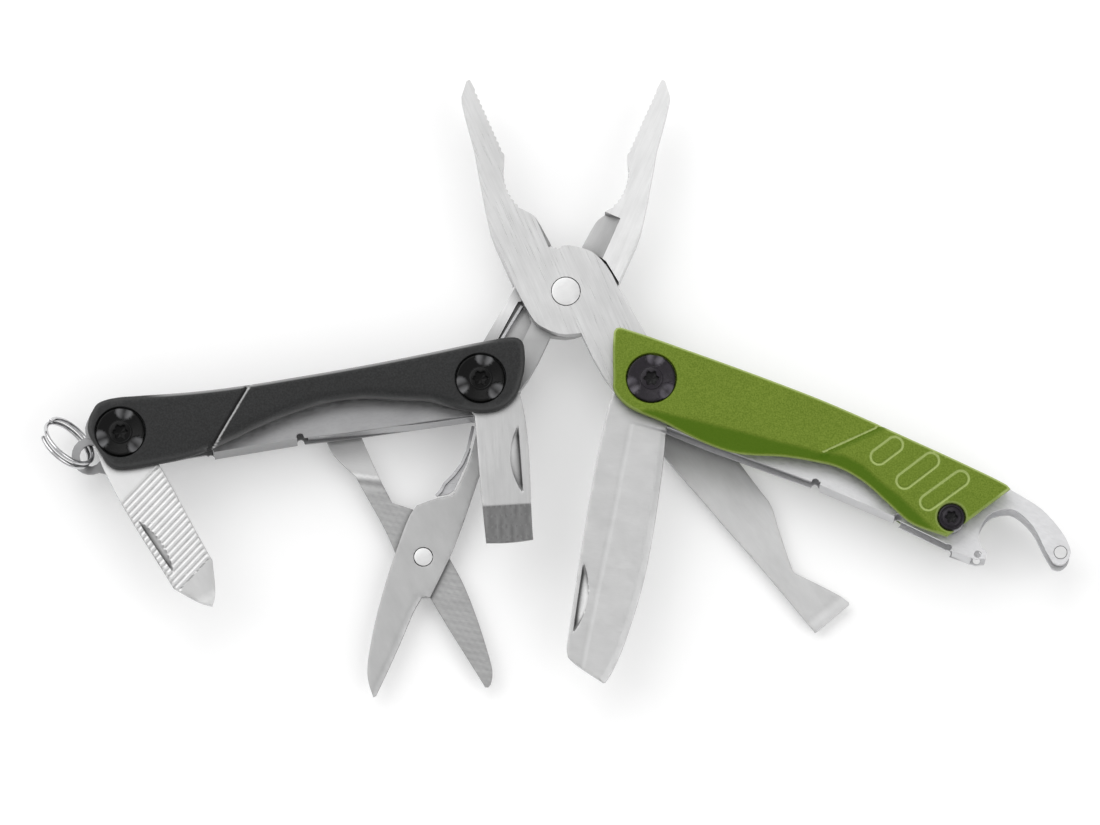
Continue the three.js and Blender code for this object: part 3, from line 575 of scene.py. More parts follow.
# ---------------------------------------------------------------- pieces that replace CAD nodes
def circle(at, radius, count=72):
    """A loop (m) about a centre (m); radius in mm."""
    return [
        Vector((at[0] + radius * MM * math.cos(2 * math.pi * i / count),
                at[1] + radius * MM * math.sin(2 * math.pi * i / count)))
        for i in range(count)
    ]


def extent(loop):
    xs = [p[0] for p in loop]
    ys = [p[1] for p in loop]
    return max(xs) - min(xs) + max(ys) - min(ys)


def all_loops(node, level):
    """The outline first, then the holes."""
    return sorted(section_loops(node, level), key=extent, reverse=True)


def zigzag(start, end, step):
    """Evenly spaced numbers from start to end."""
    return np.arange(start, end + step / 2, step)


# Heights (mm): each scale is a face plate over a floor plate with smaller holes, and its lip reaches into
# the handle. A cut is the height at which the CAD gives that plate's outline.
FRONT_LIP_LOW, FRONT_FLOOR_LOW, FRONT_FACE_LOW, FRONT_FACE_HIGH = 9.48, 11.84, 12.12, 13.14
FRONT_LIP_CUT, FRONT_FLOOR_CUT, FRONT_FACE_CUT = 10.8, 12.0, 12.5
BACK_FACE_LOW, BACK_FACE_HIGH, BACK_FLOOR_HIGH, BACK_LIP_HIGH = 0.0, 0.95, 1.2, 3.84
BACK_FACE_CUT, BACK_FLOOR_CUT, BACK_LIP_CUT = 0.6, 1.05, 2.2
LIP_OVERLAP = 0.1  # how far (mm) a lip runs into its plate
FACE_OVERLAP = 0.005
POST_HOLE = 1.72
SMALL_POST_HOLE = 1.12

# Left (black) front scale: diagonal groove with a raised lip that carries a painted highlight, and a soft
# bevel on its hollow lower edge.
GROOVE = [(-30.2, 5.6), (-39.3, -5.6)]
HOLLOW = [(-4.5, -3.6), (-7.1, -2.1), (-10.5, -1.4), (-16.3, -0.2), (-22, -0.05), (-28.9, -1.3), (-34, -2.8),
          (-38.5, -4.0)]


def black_top(flat):
    """Height (mm) of the relief over the plain face."""
    points = handle_local("left", flat)
    groove, side = line_distance(points, GROOVE)
    hollow, _ = line_distance(points, HOLLOW)
    lip = np.where(side > 0, valley(np.abs(groove - 0.16), 0.1, -0.05), 0)
    crown = -0.018 * (points[:, 1] - 0.6) ** 2 * ramp(np.abs(points[:, 0] + 25), 0, 4)
    crown = np.maximum(crown, -0.3)
    return valley(groove, 0.3, 0.3) + lip - 0.34 * (1 - ramp(hollow, 0, 1.5)) + 0.4 * crown


def black_painted_light(flat, rim):
    """Painted highlights (above 0) and painted shade (below 0): a highlight on the groove's lip, shade on the
    groove's far side, glints along the rim (strongest at the top) and a highlight along the hollow; rim is
    the distance (mm) from the outline.
    """
    points = handle_local("left", flat)
    groove, side = line_distance(points, GROOVE)
    lip = np.where(side > 0, 1 - ramp(np.abs(groove - 0.2), 0.06, 0.16), 0)
    shade = np.where(side < 0, 1 - ramp(groove, 0.05, 0.5), 0)
    upper = ramp(points[:, 1], 2.6, 3.4) * ramp(points[:, 0], -46, -42) * (1 - ramp(points[:, 0], -2, 4))
    hollow, _ = line_distance(points, HOLLOW)
    glint = 0.55 * upper * (1 - ramp(rim, 0.25, 0.5)) + 0.05 * (1 - ramp(rim, 0.3, 0.8))
    return np.maximum(lip, glint + 0.1 * (1 - ramp(hollow, 0.15, 0.5))) - 0.7 * shade


# Right (green) front scale: crease with a falling lower bevel, a step, and three sunk outlines.
CREASE = [(-0.6, -5.3), (0.8, -4.2), (2.1, -3.8), (6.3, -3.2), (10.5, -2.6), (14.6, -2.0), (18.9, -1.5),
          (23, -0.9), (25.7, -0.7), (28.3, 0.2), (31.3, -0.1), (34.7, -1.4), (37.8, -2.3), (43, -4.5),
          (46, -5.8)]
STEP = [(32.1, 6.1), (25.7, -0.8)]
SLOTS_SUNK = [((32.9, 1.55), (34.3, 3.9)), ((37.4, -0.25), (39.7, 3.7)), ((41.5, -1.8), (44.4, 2.9))]
SLOT_RADIUS = 1.0


def green_top(flat):
    points = handle_local("right", flat)
    crease, side = line_distance(points, CREASE)
    below = np.where(side < 0, crease, 0)
    step, step_side = line_distance(points, STEP)
    height = -0.2 * np.minimum(below, 2.6) - np.where(side < 0, 0.05 * ramp(below, 0, 0.25), 0)
    height = height + valley(step, 0.3, 0.26) - np.where(step_side > 0, 0.1 * ramp(step, 0, 0.5), 0)
    for start, end in SLOTS_SUNK:
        reach, _ = line_distance(points, [start, end])
        height = height + valley(np.abs(reach - SLOT_RADIUS), 0.2, 0.17)
    return height


# Painted light on the green scale: painted shade on the bevel below the crease, painted highlights along the
# rim (stronger near the top), a painted highlight line beside the step with painted shade past it, and
# painted highlights around the sunk outlines.
def green_painted_light(flat, rim):
    points = handle_local("right", flat)
    crease, side = line_distance(points, CREASE)
    step, step_side = line_distance(points, STEP)
    value = -0.85 * np.where(side < 0, ramp(crease, 0.0, 0.5), 0) * ramp(rim, 0.1, 0.4)
    upper = ramp(points[:, 1], 2.2, 3.2)
    value = value + (0.3 + 0.35 * upper) * (1 - ramp(rim, 0.16, 0.36))
    value = value + 0.9 * np.where(step_side < 0, 1 - ramp(np.abs(step - 0.12), 0.05, 0.15), 0)
    value = value - 0.55 * np.where(step_side > 0, 1 - ramp(step, 0.3, 0.9), 0)
    for start, end in SLOTS_SUNK:
        reach, _ = line_distance(points, [start, end])
        value = value + 0.75 * (1 - ramp(np.abs(reach - SLOT_RADIUS - 0.1), 0.05, 0.22))
    return np.clip(value, -1, 1)


def slot_rows():
    rows = []
    for start, end in SLOTS_SUNK:
        start = Vector(start)
        end = Vector(end)
        axis = (end - start).normalized()
        across = Vector((-axis.y, axis.x))
        for offset in (-0.2, -0.08, 0.0, 0.08, 0.12, 0.2, 0.3):
            radius = SLOT_RADIUS + offset
            for t in zigzag(0, 1, 0.05):
                for sign in (-1, 1):
                    rows.append(handle_point("right", *(start.lerp(end, t) + across * radius * sign)))
            for t in zigzag(0, math.pi, math.pi / 16):
                swing = across * radius * math.cos(t)
                rows.append(handle_point("right", *(end + swing + axis * radius * math.sin(t))))
                rows.append(handle_point("right", *(start + swing - axis * radius * math.sin(t))))
    return rows


def front_scale(node, material, body, edge, top, painted_light, extra):
    """A front scale; edge is the rounding radius (mm) of its rim, and extra holds more mesh points."""
    built = Builder()
    for loop in section_loops(node, FRONT_LIP_CUT):
        built.plate([loop], FRONT_LIP_LOW, FRONT_FLOOR_LOW + LIP_OVERLAP, edges=(0.12, 0), spacing=1.5)
    built.plate(
        all_loops(node, FRONT_FLOOR_CUT), FRONT_FLOOR_LOW, FRONT_FACE_LOW,
        edges=(0.1, 0), hole_edge=0, spacing=1.5,
    )
    built.plate(
        all_loops(node, FRONT_FACE_CUT), FRONT_FACE_LOW - FACE_OVERLAP, FRONT_FACE_HIGH,
        edges=(0, edge), hole_edge=0.14, spacing=0.36, top=top, painted_light=painted_light, extra=extra,
    )
    built.finish(node + "_shell", material, body, node, smooth=40)


def back_scale(node, material, body, bottom):
    built = Builder()
    for loop in section_loops(node, BACK_LIP_CUT):
        built.plate([loop], BACK_FLOOR_HIGH - LIP_OVERLAP, BACK_LIP_HIGH, edges=(0, 0.12), spacing=1.5)
    built.plate(
        all_loops(node, BACK_FLOOR_CUT), BACK_FACE_HIGH, BACK_FLOOR_HIGH,
        edges=(0, 0.1), hole_edge=0, spacing=1.5,
    )
    built.plate(
        all_loops(node, BACK_FACE_CUT), BACK_FACE_LOW, BACK_FACE_HIGH + FACE_OVERLAP,
        edges=(0.42, 0), hole_edge=0.12, spacing=0.5, bottom=bottom,
    )
    built.finish(node + "_shell", material, body, node, smooth=40)


def black_bottom(flat):
    groove, _ = line_distance(handle_local("left", flat), GROOVE)
    return -valley(groove, 0.35, 0.25)


def green_bottom(flat):
    groove, _ = line_distance(handle_local("right", flat), STEP)
    return -valley(groove, 0.35, 0.25)


front_scale(
    "left_front_scale", BLACK, "left_handle", 0.5, black_top, black_painted_light,
    along_path("left", GROOVE, (-0.5, -0.3, -0.2, -0.1, 0.0, 0.08, 0.16, 0.24, 0.32, 0.45)),
)
front_scale(
    "right_front_scale", GREEN, "right_handle", 0.36, green_top, green_painted_light,
    along_path("right", STEP, (-0.4, -0.28, -0.2, -0.12, -0.05, 0.05, 0.15, 0.3, 0.45))
    + along_path("right", CREASE, (-0.25, -0.1, 0.0, 0.1)) + slot_rows(),
)
back_scale("left_back_scale", BLACK, "left_handle", black_bottom)
back_scale("right_back_scale", GREEN, "right_handle", green_bottom)


# ---------------------------------------------------------------- screws
SCREW_SIDES = 96
STAR_DEPTH = 0.62
LIP_DEPTH = 0.03  # depth of the ring just outside the raised middle
DIMPLE_AT = 2.9  # from the screw's axis to the centre of the ball that cuts a dimple (mm)
DIMPLE_BALL = 1.7
DIMPLE_LIFT = 1.1  # how far that ball's centre stands above the face


def star_reach(angle, radius):
    return radius * (0.85 + 0.15 * math.cos(6 * angle))


def head_rings(radius, raised, slope_rings):
    """(shape, size, depth) of a screw head's rings (mm), from its star recess out to its rim."""
    first = raised + 0.24
    slope = radius - 0.32 - first
    return [
        ("star", 0.5, STAR_DEPTH), ("star", 1.0, 0.6), ("star", 1.0, 0.06), ("star", 1.1, 0.0),
        ("round", raised, 0.0), ("round", raised + 0.07, LIP_DEPTH), ("round", raised + 0.14, 0.12),
        *(("round", first + slope * i / slope_rings, 0.13 - 0.11 * i / slope_rings)
          for i in range(slope_rings + 1)),
        ("round", radius - 0.2, 0.02), ("round", radius - 0.08, 0.09), ("round", radius, 0.22),
    ]


def dimpled(x, y, depth, painted_light, dimples):
    """Depth (mm) and painted light of a place on a head's face once the dimples are cut; the dimples get a
    painted highlight that grows with their depth and towards their sides.
    """
    sunk = depth
    for k in range(dimples):
        towards = math.radians(80 + 120 * k)
        gap = math.hypot(x - DIMPLE_AT * math.cos(towards), y - DIMPLE_AT * math.sin(towards))
        if gap >= DIMPLE_BALL:
            continue
        sunk = max(sunk, math.sqrt(DIMPLE_BALL ** 2 - gap ** 2) - DIMPLE_LIFT)
        sideways = abs(y * math.cos(towards) - x * math.sin(towards))
        if sunk > depth + 0.02:
            painted_light = 0.1 + 0.75 * min(1.0, sideways / 0.8) * min(1.0, (sunk - depth) / 0.25)
    return sunk, painted_light


def tube_faces(rings, sides, last):
    """Faces between rings of points numbered from 1, closed by point 0 and by the last point."""
    faces = []
    for i in range(sides):
        j = (i + 1) % sides
        faces.append((0, 1 + i, 1 + j))
        for k in range(rings - 1):
            low = 1 + k * sides
            high = low + sides
            faces.append((low + i, high + i, high + j, low + j))
        end = 1 + (rings - 1) * sides
        faces.append((end + i, last, end + j))
    return faces


def screw(node, material, body, at, face, turn, radius, raised, dimples, tail):
    """A screw head with its face at a height (mm), looking up (turn 1) or down (-1), and its shank.
    raised is the radius of the raised middle; tail lists the shank's (radius, height) from the head on."""
    rings = head_rings(radius, raised, 16 if dimples else 4)
    angles = [2 * math.pi * i / SCREW_SIDES for i in range(SCREW_SIDES)]
    points = [(at[0], at[1], (face - turn * 0.68) * MM)]
    # Painted light of the head: painted shade at the middle and in the star recess, a painted highlight on
    # the ring just outside the raised middle, and painted highlights in the dimples.
    painted_lights = [-1.0]
    for kind, size, depth in rings:
        plain = 0.12 if depth == LIP_DEPTH else 0.0
        for angle in angles:
            reach = star_reach(angle, raised * 0.74) * size if kind == "star" else size
            x = reach * math.cos(angle)
            y = reach * math.sin(angle)
            sunk = depth
            painted_light = -1.0 if kind == "star" and depth > 0.05 else plain
            if kind == "round" and size > raised + 0.1:
                sunk, painted_light = dimpled(x, y, depth, painted_light, dimples)
            points.append((at[0] + x * MM, at[1] + y * MM, (face - turn * sunk) * MM))
            painted_lights.append(painted_light)
    for reach, height in tail:
        for angle in angles:
            x = reach * math.cos(angle)
            y = reach * math.sin(angle)
            points.append((at[0] + x * MM, at[1] + y * MM, height * MM))
    points.append((at[0], at[1], tail[-1][1] * MM))
    painted_lights += [0.0] * (len(points) - len(painted_lights))
    built = Builder()
    faces = tube_faces(len(rings) + len(tail), SCREW_SIDES, len(points) - 1)
    built.surface(points, faces, painted_lights)
    built.finish(node + "_fine", material, body, node, smooth=24)


HEAD_FACE = 13.08
HEAD_UNDERSIDE = 12.18
SCREW_END = 8.58
FOOT_FACE = 0.06
FOOT_TOP = 0.9
BARREL_TOP = 12.08
BORE_FLOOR = 7.1
for side, place, at, material, body in (
    ("left", "pivot", LEFT_PIVOT, BLACK_SCREW, "left_handle"),
    ("left", "rear", LEFT_REAR, BLACK_SCREW, "left_handle"),
    ("right", "pivot", RIGHT_PIVOT, DARK_SCREW, "right_handle"),
    ("right", "end", RIGHT_END, DARK_SCREW, "right_handle"),
):
    head, raised, shank, dimples = (1.8, 1.15, 0.55, 0) if place == "end" else (3.3, 1.42, 0.95, 3)
    screw(
        f"{side}_{place}_screw", material, body, at, HEAD_FACE, 1, head, raised, dimples,
        [(head, HEAD_UNDERSIDE), (shank, HEAD_UNDERSIDE), (shank, SCREW_END)],
    )
    foot, raised, shaft, bore = (1.35, 0.8, 1.0, 0.65) if place == "end" else (2.1, 1.1, 1.6, 1.1)
    screw(
        f"{side}_{place}_barrel", material, body, at, FOOT_FACE, -1, foot, raised, 0,
        [(foot, FOOT_TOP), (shaft, FOOT_TOP), (shaft, BARREL_TOP), (bore, BARREL_TOP), (bore, BORE_FLOOR)],
    )


# ---------------------------------------------------------------- washers, spacers and rivets
def turned_disc(node, material, body, radius, hole, rim, spacing):
    """A disc at a CAD node's centre and between its heights, with a hole unless hole is None (mm)."""
    low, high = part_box(node)
    loops = [circle(centre(node), radius)]
    if hole:
        loops.append(circle(centre(node), hole))
    built = Builder()
    built.plate(loops, low.z / MM, high.z / MM, edges=(rim, rim), spacing=spacing, corner=None)
    built.finish(node + "_fine", material, body, node)


for node in frame["nodes"]:
    if "washer" in node or "spacer" in node:
        low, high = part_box(node)
        hole = SMALL_POST_HOLE if "right_end" in node else POST_HOLE
        radius = (high.y - low.y) / 2 / MM
        turned_disc(node, WASHER_STEEL, node.split("_")[0] + "_handle", radius, hole, 0.08, 1.5)

turned_disc("plier_rivet", RIVET_STEEL, "plier_pivot", 1.96, None, 0.07, 1.0)
turned_disc("scissors_rivet", RIVET_STEEL, "scissors", 1.26, None, 0.07, 1.0)


# ---------------------------------------------------------------- tools
def nick_depth(points, start, end, inward, width, depth):
    """A fingernail nick: a steep straight wall, and a curved floor rising towards inward (+1 or -1)."""
    start = np.array(start)
    axis = np.array(end) - start
    length = np.linalg.norm(axis)
    axis = axis / length
    along = (points - start) @ axis
    across = ((points[:, 1] - start[1]) * axis[0] - (points[:, 0] - start[0]) * axis[1]) * inward
    share = np.clip(along / length, 0, 1)
    bulge = width * np.sin(math.pi * share) ** 0.8
    open_floor = (across > -0.1) & (across < bulge) & (along > 0) & (along < length)
    floor = np.clip(1 - across / np.maximum(bulge, 0.01), 0, 1)
    wall = ramp(across, -0.1, 0.06)
    return np.where(open_floor, depth * floor ** 0.8 * wall * np.minimum(1, bulge / (0.5 * width)), 0)


def nick_rows(origin, angle, start, end, inward, width):
    """Mesh points that follow the nick's wall."""
    turned = Matrix.Rotation(angle, 2)
    start = Vector(start)
    end = Vector(end)
    axis = (end - start).normalized()
    across = Vector((-axis.y, axis.x)) * inward
    rows = []
    for t in zigzag(0, 1, 0.02):
        bulge = width * math.sin(math.pi * min(max(t, 0), 1)) ** 0.8
        for offset in (-0.2, -0.1, -0.02, 0.06, 0.2, 0.45, 0.7, 0.95, 1.0, 1.1):
            reach = offset if offset < 0.1 else offset * bulge
            rows.append(origin + turned @ (start.lerp(end, t) + across * reach) * MM)
    return rows


KNIFE_ANGLE = math.radians(-98.9)
KNIFE_NICK = ((26.4, -5.25), (36.1, -5.15), 1, 1.3)
GRIND_W = [6.1, 20, 37, 43]
GRIND_S = [-1.7, -2.2, -3.0, -3.2]
KNIFE_EDGE = [(6.2, 3.1), (10.8, 3.35), (17.6, 3.5), (24.9, 3.4), (30.8, 2.9), (37.8, 1.7), (41.4, 0.6),
              (42.3, 0.1)]


def knife_top(flat):
    points = tool_local(RIGHT_PIVOT, KNIFE_ANGLE, flat)
    grind = points[:, 1] - np.interp(points[:, 0], GRIND_W, GRIND_S)
    ricasso = ramp(points[:, 0] - 0.12 * points[:, 1], 6.0, 6.5)
    hollow = ricasso * (0.07 * ramp(grind, -0.5, 0.4) + 0.045 * np.maximum(grind, 0))
    edge, _ = line_distance(points, KNIFE_EDGE)
    bevel = ricasso * 0.13 * np.maximum(0, 1 - edge / 0.85)
    start, end, inward, width = KNIFE_NICK
    return -hollow - bevel - nick_depth(points, start, end, inward, width, 0.5)


# Painted light on the knife: a painted highlight line along the grind, lighter above the grind, painted shade
# along the edge bevel (stronger towards the heel), and painted shade in the nail nick.
def knife_painted_light(flat, rim):
    points = tool_local(RIGHT_PIVOT, KNIFE_ANGLE, flat)
    grind = points[:, 1] - np.interp(points[:, 0], GRIND_W, GRIND_S)
    past = points[:, 0] > 6.3
    edge, _ = line_distance(points, KNIFE_EDGE)
    start, end, inward, width = KNIFE_NICK
    sunk = nick_depth(points, start, end, inward, width, 1.0)
    line = np.where(past, 0.16 * (1 - ramp(np.abs(grind), 0.05, 0.5)), 0)
    shade = np.where(past, (0.1 + 0.25 * (1 - ramp(points[:, 0], 12, 22))) * (1 - ramp(edge, 0.7, 0.9)), 0)
    return line + np.where(past, 0.12 * ramp(grind, -0.2, 0.4), 0) - shade - 0.7 * ramp(sunk, 0.45, 0.9)


def grind_rows():
    points = []
    for w in zigzag(6.4, 42, 0.4):
        middle = float(np.interp(w, GRIND_W, GRIND_S))
        points += [(w, middle + offset) for offset in (-0.5, -0.25, 0.0, 0.2, 0.4)]
    for s in zigzag(-5.5, 3, 0.3):
        points += [(w + 0.12 * s, s) for w in (5.9, 6.0, 6.12, 6.25, 6.38, 6.5, 6.6)]
    for a, b in zip(KNIFE_EDGE[:-1], KNIFE_EDGE[1:]):
        a = Vector(a)
        b = Vector(b)
        for t in zigzag(0, 1, 0.07):
            points += [(p.x, p.y - inset) for inset in (0.3, 0.6, 0.84, 0.95) for p in [a.lerp(b, t)]]
    return points


DRIVER_ANGLE = math.radians(-86.5)
DRIVER_NICK = ((6.75, 4.7), (16, 4.8), -1, 1.35)


def driver_top(flat):
    points = tool_local(LEFT_PIVOT, DRIVER_ANGLE, flat)
    blade = np.minimum(0.4, 0.085 * np.maximum(points[:, 0] - 17.6, 0))
    blade = blade + 0.05 * ramp(points[:, 0], 17.5, 17.7)
    start, end, inward, width = DRIVER_NICK
    return -blade - nick_depth(points, start, end, inward, width, 0.5)


# Painted light on the driver: painted shade on the blade's bevel, varied by stripes, and painted shade in the
# nail nick.
def driver_painted_light(flat, rim):
    points = tool_local(LEFT_PIVOT, DRIVER_ANGLE, flat)
    start, end, inward, width = DRIVER_NICK
    sunk = nick_depth(points, start, end, inward, width, 1.0)
    lines = 0.15 * np.sin(points[:, 1] * 13) * np.sin(points[:, 1] * 4.7)
    return -ramp(points[:, 0], 17.5, 17.7) * (0.86 + lines) - 0.7 * ramp(sunk, 0.45, 0.9)


FILE_ANGLE = math.radians(-59.3)
FILE_NICK = ((11.7, -4.05), (20.4, -3.55), 1, 1.0)
RIB_PITCH = 0.8
RIB_SLANT = 2.2 / 7.4  # how far a rib leans along the file per mm across it
FIRST_RIB = 6.5
LAST_RIB = 20.9


def rib_place(points):
    return points[:, 0] + (points[:, 1] - 2.4) * RIB_SLANT


def rib_wave(points):
    place = rib_place(points)
    wave = 0.5 + 0.5 * np.cos(2 * math.pi * (place - FIRST_RIB) / RIB_PITCH)
    return np.where((place > FIRST_RIB - RIB_PITCH / 2) & (place < LAST_RIB), wave ** 2, 0)


def file_top(flat):
    points = tool_local(LEFT_REAR, FILE_ANGLE, flat)
    start, end, inward, width = FILE_NICK
    sunk = nick_depth(points, start, end, inward, width, 0.45)
    return np.minimum(-0.09 * rib_wave(points), -sunk)


# Painted light on the file: lighter overall, painted shade in the rib troughs, darker past the last rib,
# lighter at the tip, and painted shade in the nail nick.
def file_painted_light(flat, rim):
    points = tool_local(LEFT_REAR, FILE_ANGLE, flat)
    start, end, inward, width = FILE_NICK
    sunk = nick_depth(points, start, end, inward, width, 1.0)
    ribs = np.where(sunk > 0.02, 0, rib_wave(points))
    tip = ramp(points[:, 0], 25.2, 25.5)
    beyond = ramp(rib_place(points), LAST_RIB, LAST_RIB + 0.2)
    return 0.25 - 0.85 * ribs - 0.3 * beyond + 0.35 * tip - 0.8 * ramp(sunk, 0.5, 0.9)


def file_rows():
    points = []
    for place in zigzag(FIRST_RIB - 0.6, LAST_RIB + 0.4, 0.1):
        for s in zigzag(-4.5, 1.8, 0.42):
            points.append((place + (2.4 - s) * RIB_SLANT, s))
    return points


OPENER_ANGLE = math.radians(-51.6)


def opener_top(flat):
    points = tool_local(RIGHT_PIVOT, OPENER_ANGLE, flat)
    return -0.35 * ramp(points[:, 0], 38.0, 40.2)


SCISSORS_ANGLE = math.radians(-109)
SCISSORS_PIVOT = centre("scissors_rivet").xy
CUTTING_EDGE = [(29.9, 1.75), (31.8, 1.4), (38.9, 0.9), (44.8, 0.3)]


def scissors_top(flat):
    points = tool_local(LEFT_PIVOT, SCISSORS_ANGLE, flat)
    edge, _ = line_distance(points, CUTTING_EDGE)
    return -0.18 * np.maximum(0, 1 - edge / 0.6)


def lever_top(flat):
    points = (flat - np.array(SCISSORS_PIVOT)) / MM
    bend = points[:, 1] - 10.3 + 0.15 * (points[:, 0] + 7.1)
    return valley(np.abs(bend), 0.55, 0.13) + valley(np.abs(bend - 1.2), 0.4, 0.05)


# On the lever: darker with stripes below 9.2 mm and lighter past 10.8 mm from the scissors pivot; painted
# shade along the bend and a painted highlight beside it.
def lever_painted_light(flat, rim):
    points = (flat - np.array(SCISSORS_PIVOT)) / MM
    bend = points[:, 1] - 10.3 + 0.15 * (points[:, 0] + 7.1)
    marks = np.sin((points[:, 1] + 0.16 * points[:, 0]) * 9.0) * np.sin(points[:, 1] * 2.3)
    mottle_and_shade = np.where(points[:, 1] < 9.2, -0.16 + 0.16 * marks, 0.28 * ramp(points[:, 1], 10.8, 11.4))
    return mottle_and_shade - 0.35 * (1 - ramp(np.abs(bend), 0.15, 0.5)) + 0.25 * (1 - ramp(np.abs(bend - 0.9), 0.1, 0.4))


def tool(node, body, cut, top, painted_light, extra=(), spacing=0.5):
    """A flat tool between its CAD node's heights, with the outline that the node has at a height (mm)."""
    low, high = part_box(node)
    built = Builder()
    built.plate(
        all_loops(node, cut), low.z / MM, high.z / MM, edges=(0.07, 0.07), spacing=spacing,
        top=top, painted_light=painted_light, extra=extra, hole_edge=0.05, corner=TOOL_CORNER,
    )
    built.finish(node + "_fine", FINISHES[node], body, node, smooth=30)


tool(
    "knife_blade", "knife", 9.8, knife_top, knife_painted_light,
    placed(RIGHT_PIVOT, KNIFE_ANGLE, grind_rows()) + nick_rows(RIGHT_PIVOT, KNIFE_ANGLE, *KNIFE_NICK),
)
tool("package_opener", "package_opener", 1.7, opener_top, None)
tool(
    "flat_driver", "flat_driver", 10.9, driver_top, driver_painted_light,
    placed(LEFT_PIVOT, DRIVER_ANGLE, [(w, s) for s in zigzag(-0.8, 5.8, 0.12)
                                         for w in (17.4, 17.5, 17.6, 17.7, 17.8, 19, 20.5, 22)])
    + nick_rows(LEFT_PIVOT, DRIVER_ANGLE, *DRIVER_NICK),
)
tool(
    "file", "file", 10.9, file_top, file_painted_light,
    placed(LEFT_REAR, FILE_ANGLE, file_rows()) + nick_rows(LEFT_REAR, FILE_ANGLE, *FILE_NICK), spacing=1.2,
)
tool("scissors_blade", "scissors", 3.4, scissors_top, None)
tool("scissors_lever", "scissors_lever", 2.6, lever_top, lever_painted_light, spacing=0.4)


# ---------------------------------------------------------------- lanyard ring
def lanyard():
    middle = handle_point("left", -57.15, 1.15)
    middle = Vector((middle.x, middle.y, 6.15 * MM))
    heading = LEFT_ANGLE + math.radians(-57)
    tilt = math.radians(-57)
    level = Vector((math.cos(heading), math.sin(heading), 0))
    flat_across = Vector((-math.sin(heading), math.cos(heading), 0))
    across = flat_across * math.cos(tilt) + Vector((0, 0, 1)) * math.sin(tilt)
    normal = level.cross(across)
    radius = 3.85 * MM
    wire = 0.3 * MM
    turns = 1.9
    pitch = 0.83 * MM
    steps = 190
    sides = 16
    points = []
    for i in range(-3, steps + 4):
        t = min(max(i / steps, 0), 1)
        angle = math.radians(-133) + 2 * math.pi * turns * t
        outward = level * math.cos(angle) + across * math.sin(angle)
        forward = across * math.cos(angle) - level * math.sin(angle)
        over = max(-i, i - steps, 0) / 3  # 0 on the wire, up to 1 at a rounded tip
        girth = wire * math.sqrt(max(0.0, 1 - over * over * 0.98))
        place = middle + outward * radius + normal * (t - 0.5) * pitch * turns
        place = place + forward * (wire * over * 0.5 * (1 if i > 0 else -1))
        for k in range(sides):
            swing = 2 * math.pi * k / sides
            points.append(place + (outward * math.cos(swing) + normal * math.sin(swing)) * girth)
    rings = len(points) // sides
    faces = []
    for r in range(rings - 1):
        for k in range(sides):
            n = (k + 1) % sides
            faces.append((r * sides + k, r * sides + n, (r + 1) * sides + n, (r + 1) * sides + k))
    faces.append(tuple(range(sides)))
    faces.append(tuple(range((rings - 1) * sides, rings * sides)))
    built = Builder()
    built.surface(points, faces)
    built.finish("lanyard_ring_wire", POLISHED, "lanyard", "lanyard_ring", smooth=60)


lanyard()


# ---------------------------------------------------------------- CAD nodes that stay: softened edges
for name, width in (
    ("front_jaw", 0.1), ("back_jaw", 0.1), ("left_frame", 0.06), ("right_frame", 0.06), ("hook_pin", 0.08),
    ("plier_spring", 0.05), ("left_detent_spring", 0.05), ("right_detent_spring", 0.05),
    ("scissors_spring", 0.05),
):
    bevel = frame["nodes"][name].modifiers.new("soft_edges", "BEVEL")
    bevel.width = width * MM
    bevel.segments = 2
    bevel.limit_method = "ANGLE"
    bevel.angle_limit = math.radians(35)
    bevel.harden_normals = False

# ---------------------------------------------------------------- stage, light and camera
def area_light(name, place, target, size, power):
    data = bpy.data.lights.new(name, "AREA")
    data.shape = "RECTANGLE"
    data.size, data.size_y = size
    data.energy = power
    light = bpy.data.objects.new(name, data)
    light.location = place
    light.visible_camera = False
    light.rotation_euler = (Vector(target) - Vector(place)).to_track_quat("-Z", "Y").to_euler()
    bpy.context.scene.collection.objects.link(light)


FLOOR_REACH = 1.5


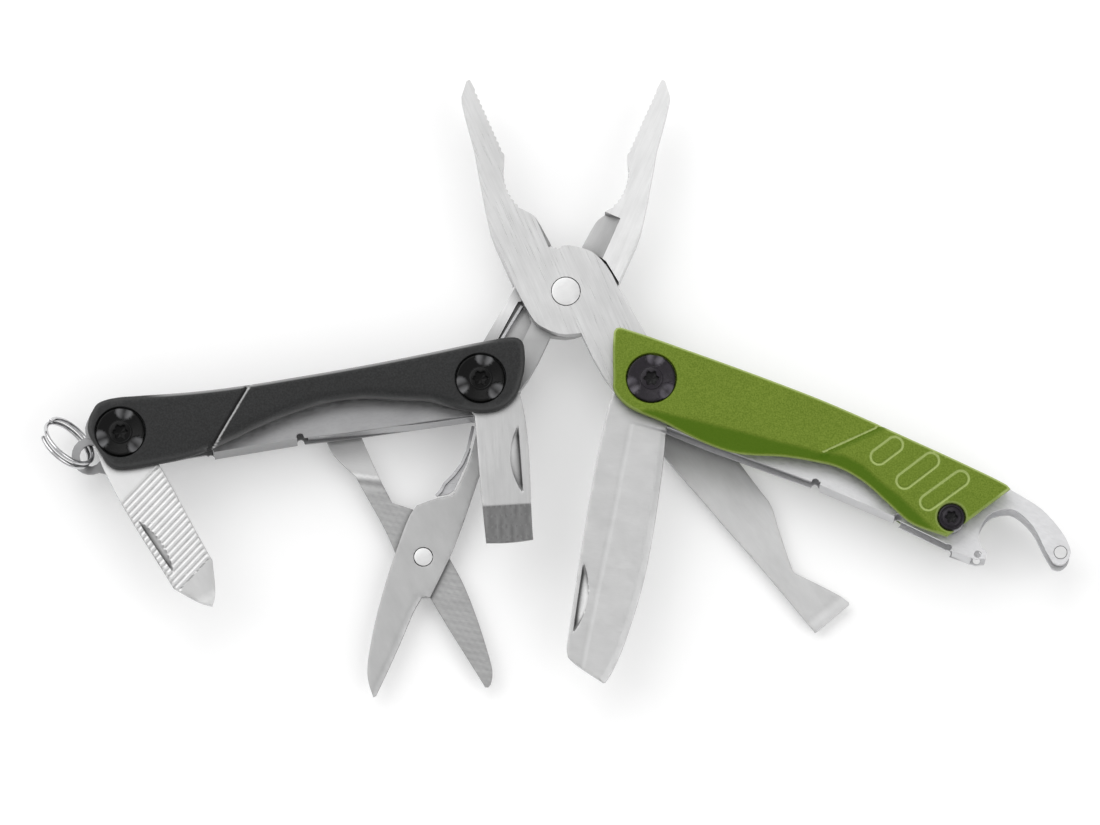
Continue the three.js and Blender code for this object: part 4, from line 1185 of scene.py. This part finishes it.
def stage():
    floor_mesh = bpy.data.meshes.new("floor")
    corners = [(-FLOOR_REACH, -FLOOR_REACH, 0), (FLOOR_REACH, -FLOOR_REACH, 0)]
    corners += [(FLOOR_REACH, FLOOR_REACH, 0), (-FLOOR_REACH, FLOOR_REACH, 0)]
    floor_mesh.from_pydata(corners, [], [(0, 1, 2, 3)])
    floor = bpy.data.objects.new("floor", floor_mesh)
    floor.location.z = -0.02 * MM
    bpy.context.scene.collection.objects.link(floor)
    material, _, surface = new_material("floor_white")
    surface.inputs["Base Color"].default_value = (0.8, 0.8, 0.8, 1)
    surface.inputs["Roughness"].default_value = 0.9
    surface.inputs["Emission Color"].default_value = (1, 1, 1, 1)
    surface.inputs["Emission Strength"].default_value = 0.22
    floor_mesh.materials.append(material)
    world = bpy.data.worlds.new("studio")
    world.use_nodes = True
    sky = world.node_tree
    towards = sky.nodes.new("ShaderNodeTexCoord")
    height = sky.nodes.new("ShaderNodeSeparateXYZ")
    sky.links.new(towards.outputs["Generated"], height.inputs["Vector"])
    shade = spread(sky, height.outputs["Z"], 0.16, 1.0, 0.1, 0.8)
    grey = mixed(sky, shade, (0.0, 0.0, 0.0), (1.0, 1.0, 1.0))
    sky.links.new(grey, sky.nodes["Background"].inputs["Color"])
    sky.nodes["Background"].inputs["Strength"].default_value = 0.72
    bpy.context.scene.world = world
    area_light("key", (-0.8, 0.9, 1.2), (0, 0, 0), (2.0, 2.0), 19)
    area_light("fill", (1.0, -0.4, 1.1), (0, 0, 0), (1.6, 1.6), 9)
    bpy.context.scene.view_settings.view_transform = "Standard"


VIEW_SPAN = 150.9 * MM  # width of the view at the pliers' level
VIEW_DISTANCE = 1.6
VIEW_ELEVATION = math.radians(79)


def camera():
    data = bpy.data.cameras.new("camera")
    data.lens = data.sensor_width * VIEW_DISTANCE / VIEW_SPAN
    view = bpy.data.objects.new("camera", data)
    aim = Vector((PLIER_PIVOT.x - 2.18 * MM, PLIER_PIVOT.y - 16.8 * MM, 7.8 * MM))
    data.clip_end = 10
    away = Vector((0, -math.cos(VIEW_ELEVATION), math.sin(VIEW_ELEVATION)))
    view.location = aim + away * VIEW_DISTANCE
    view.rotation_euler = (math.pi / 2 - VIEW_ELEVATION, 0, 0)
    bpy.context.scene.collection.objects.link(view)
    bpy.context.scene.camera = view


stage()
camera()
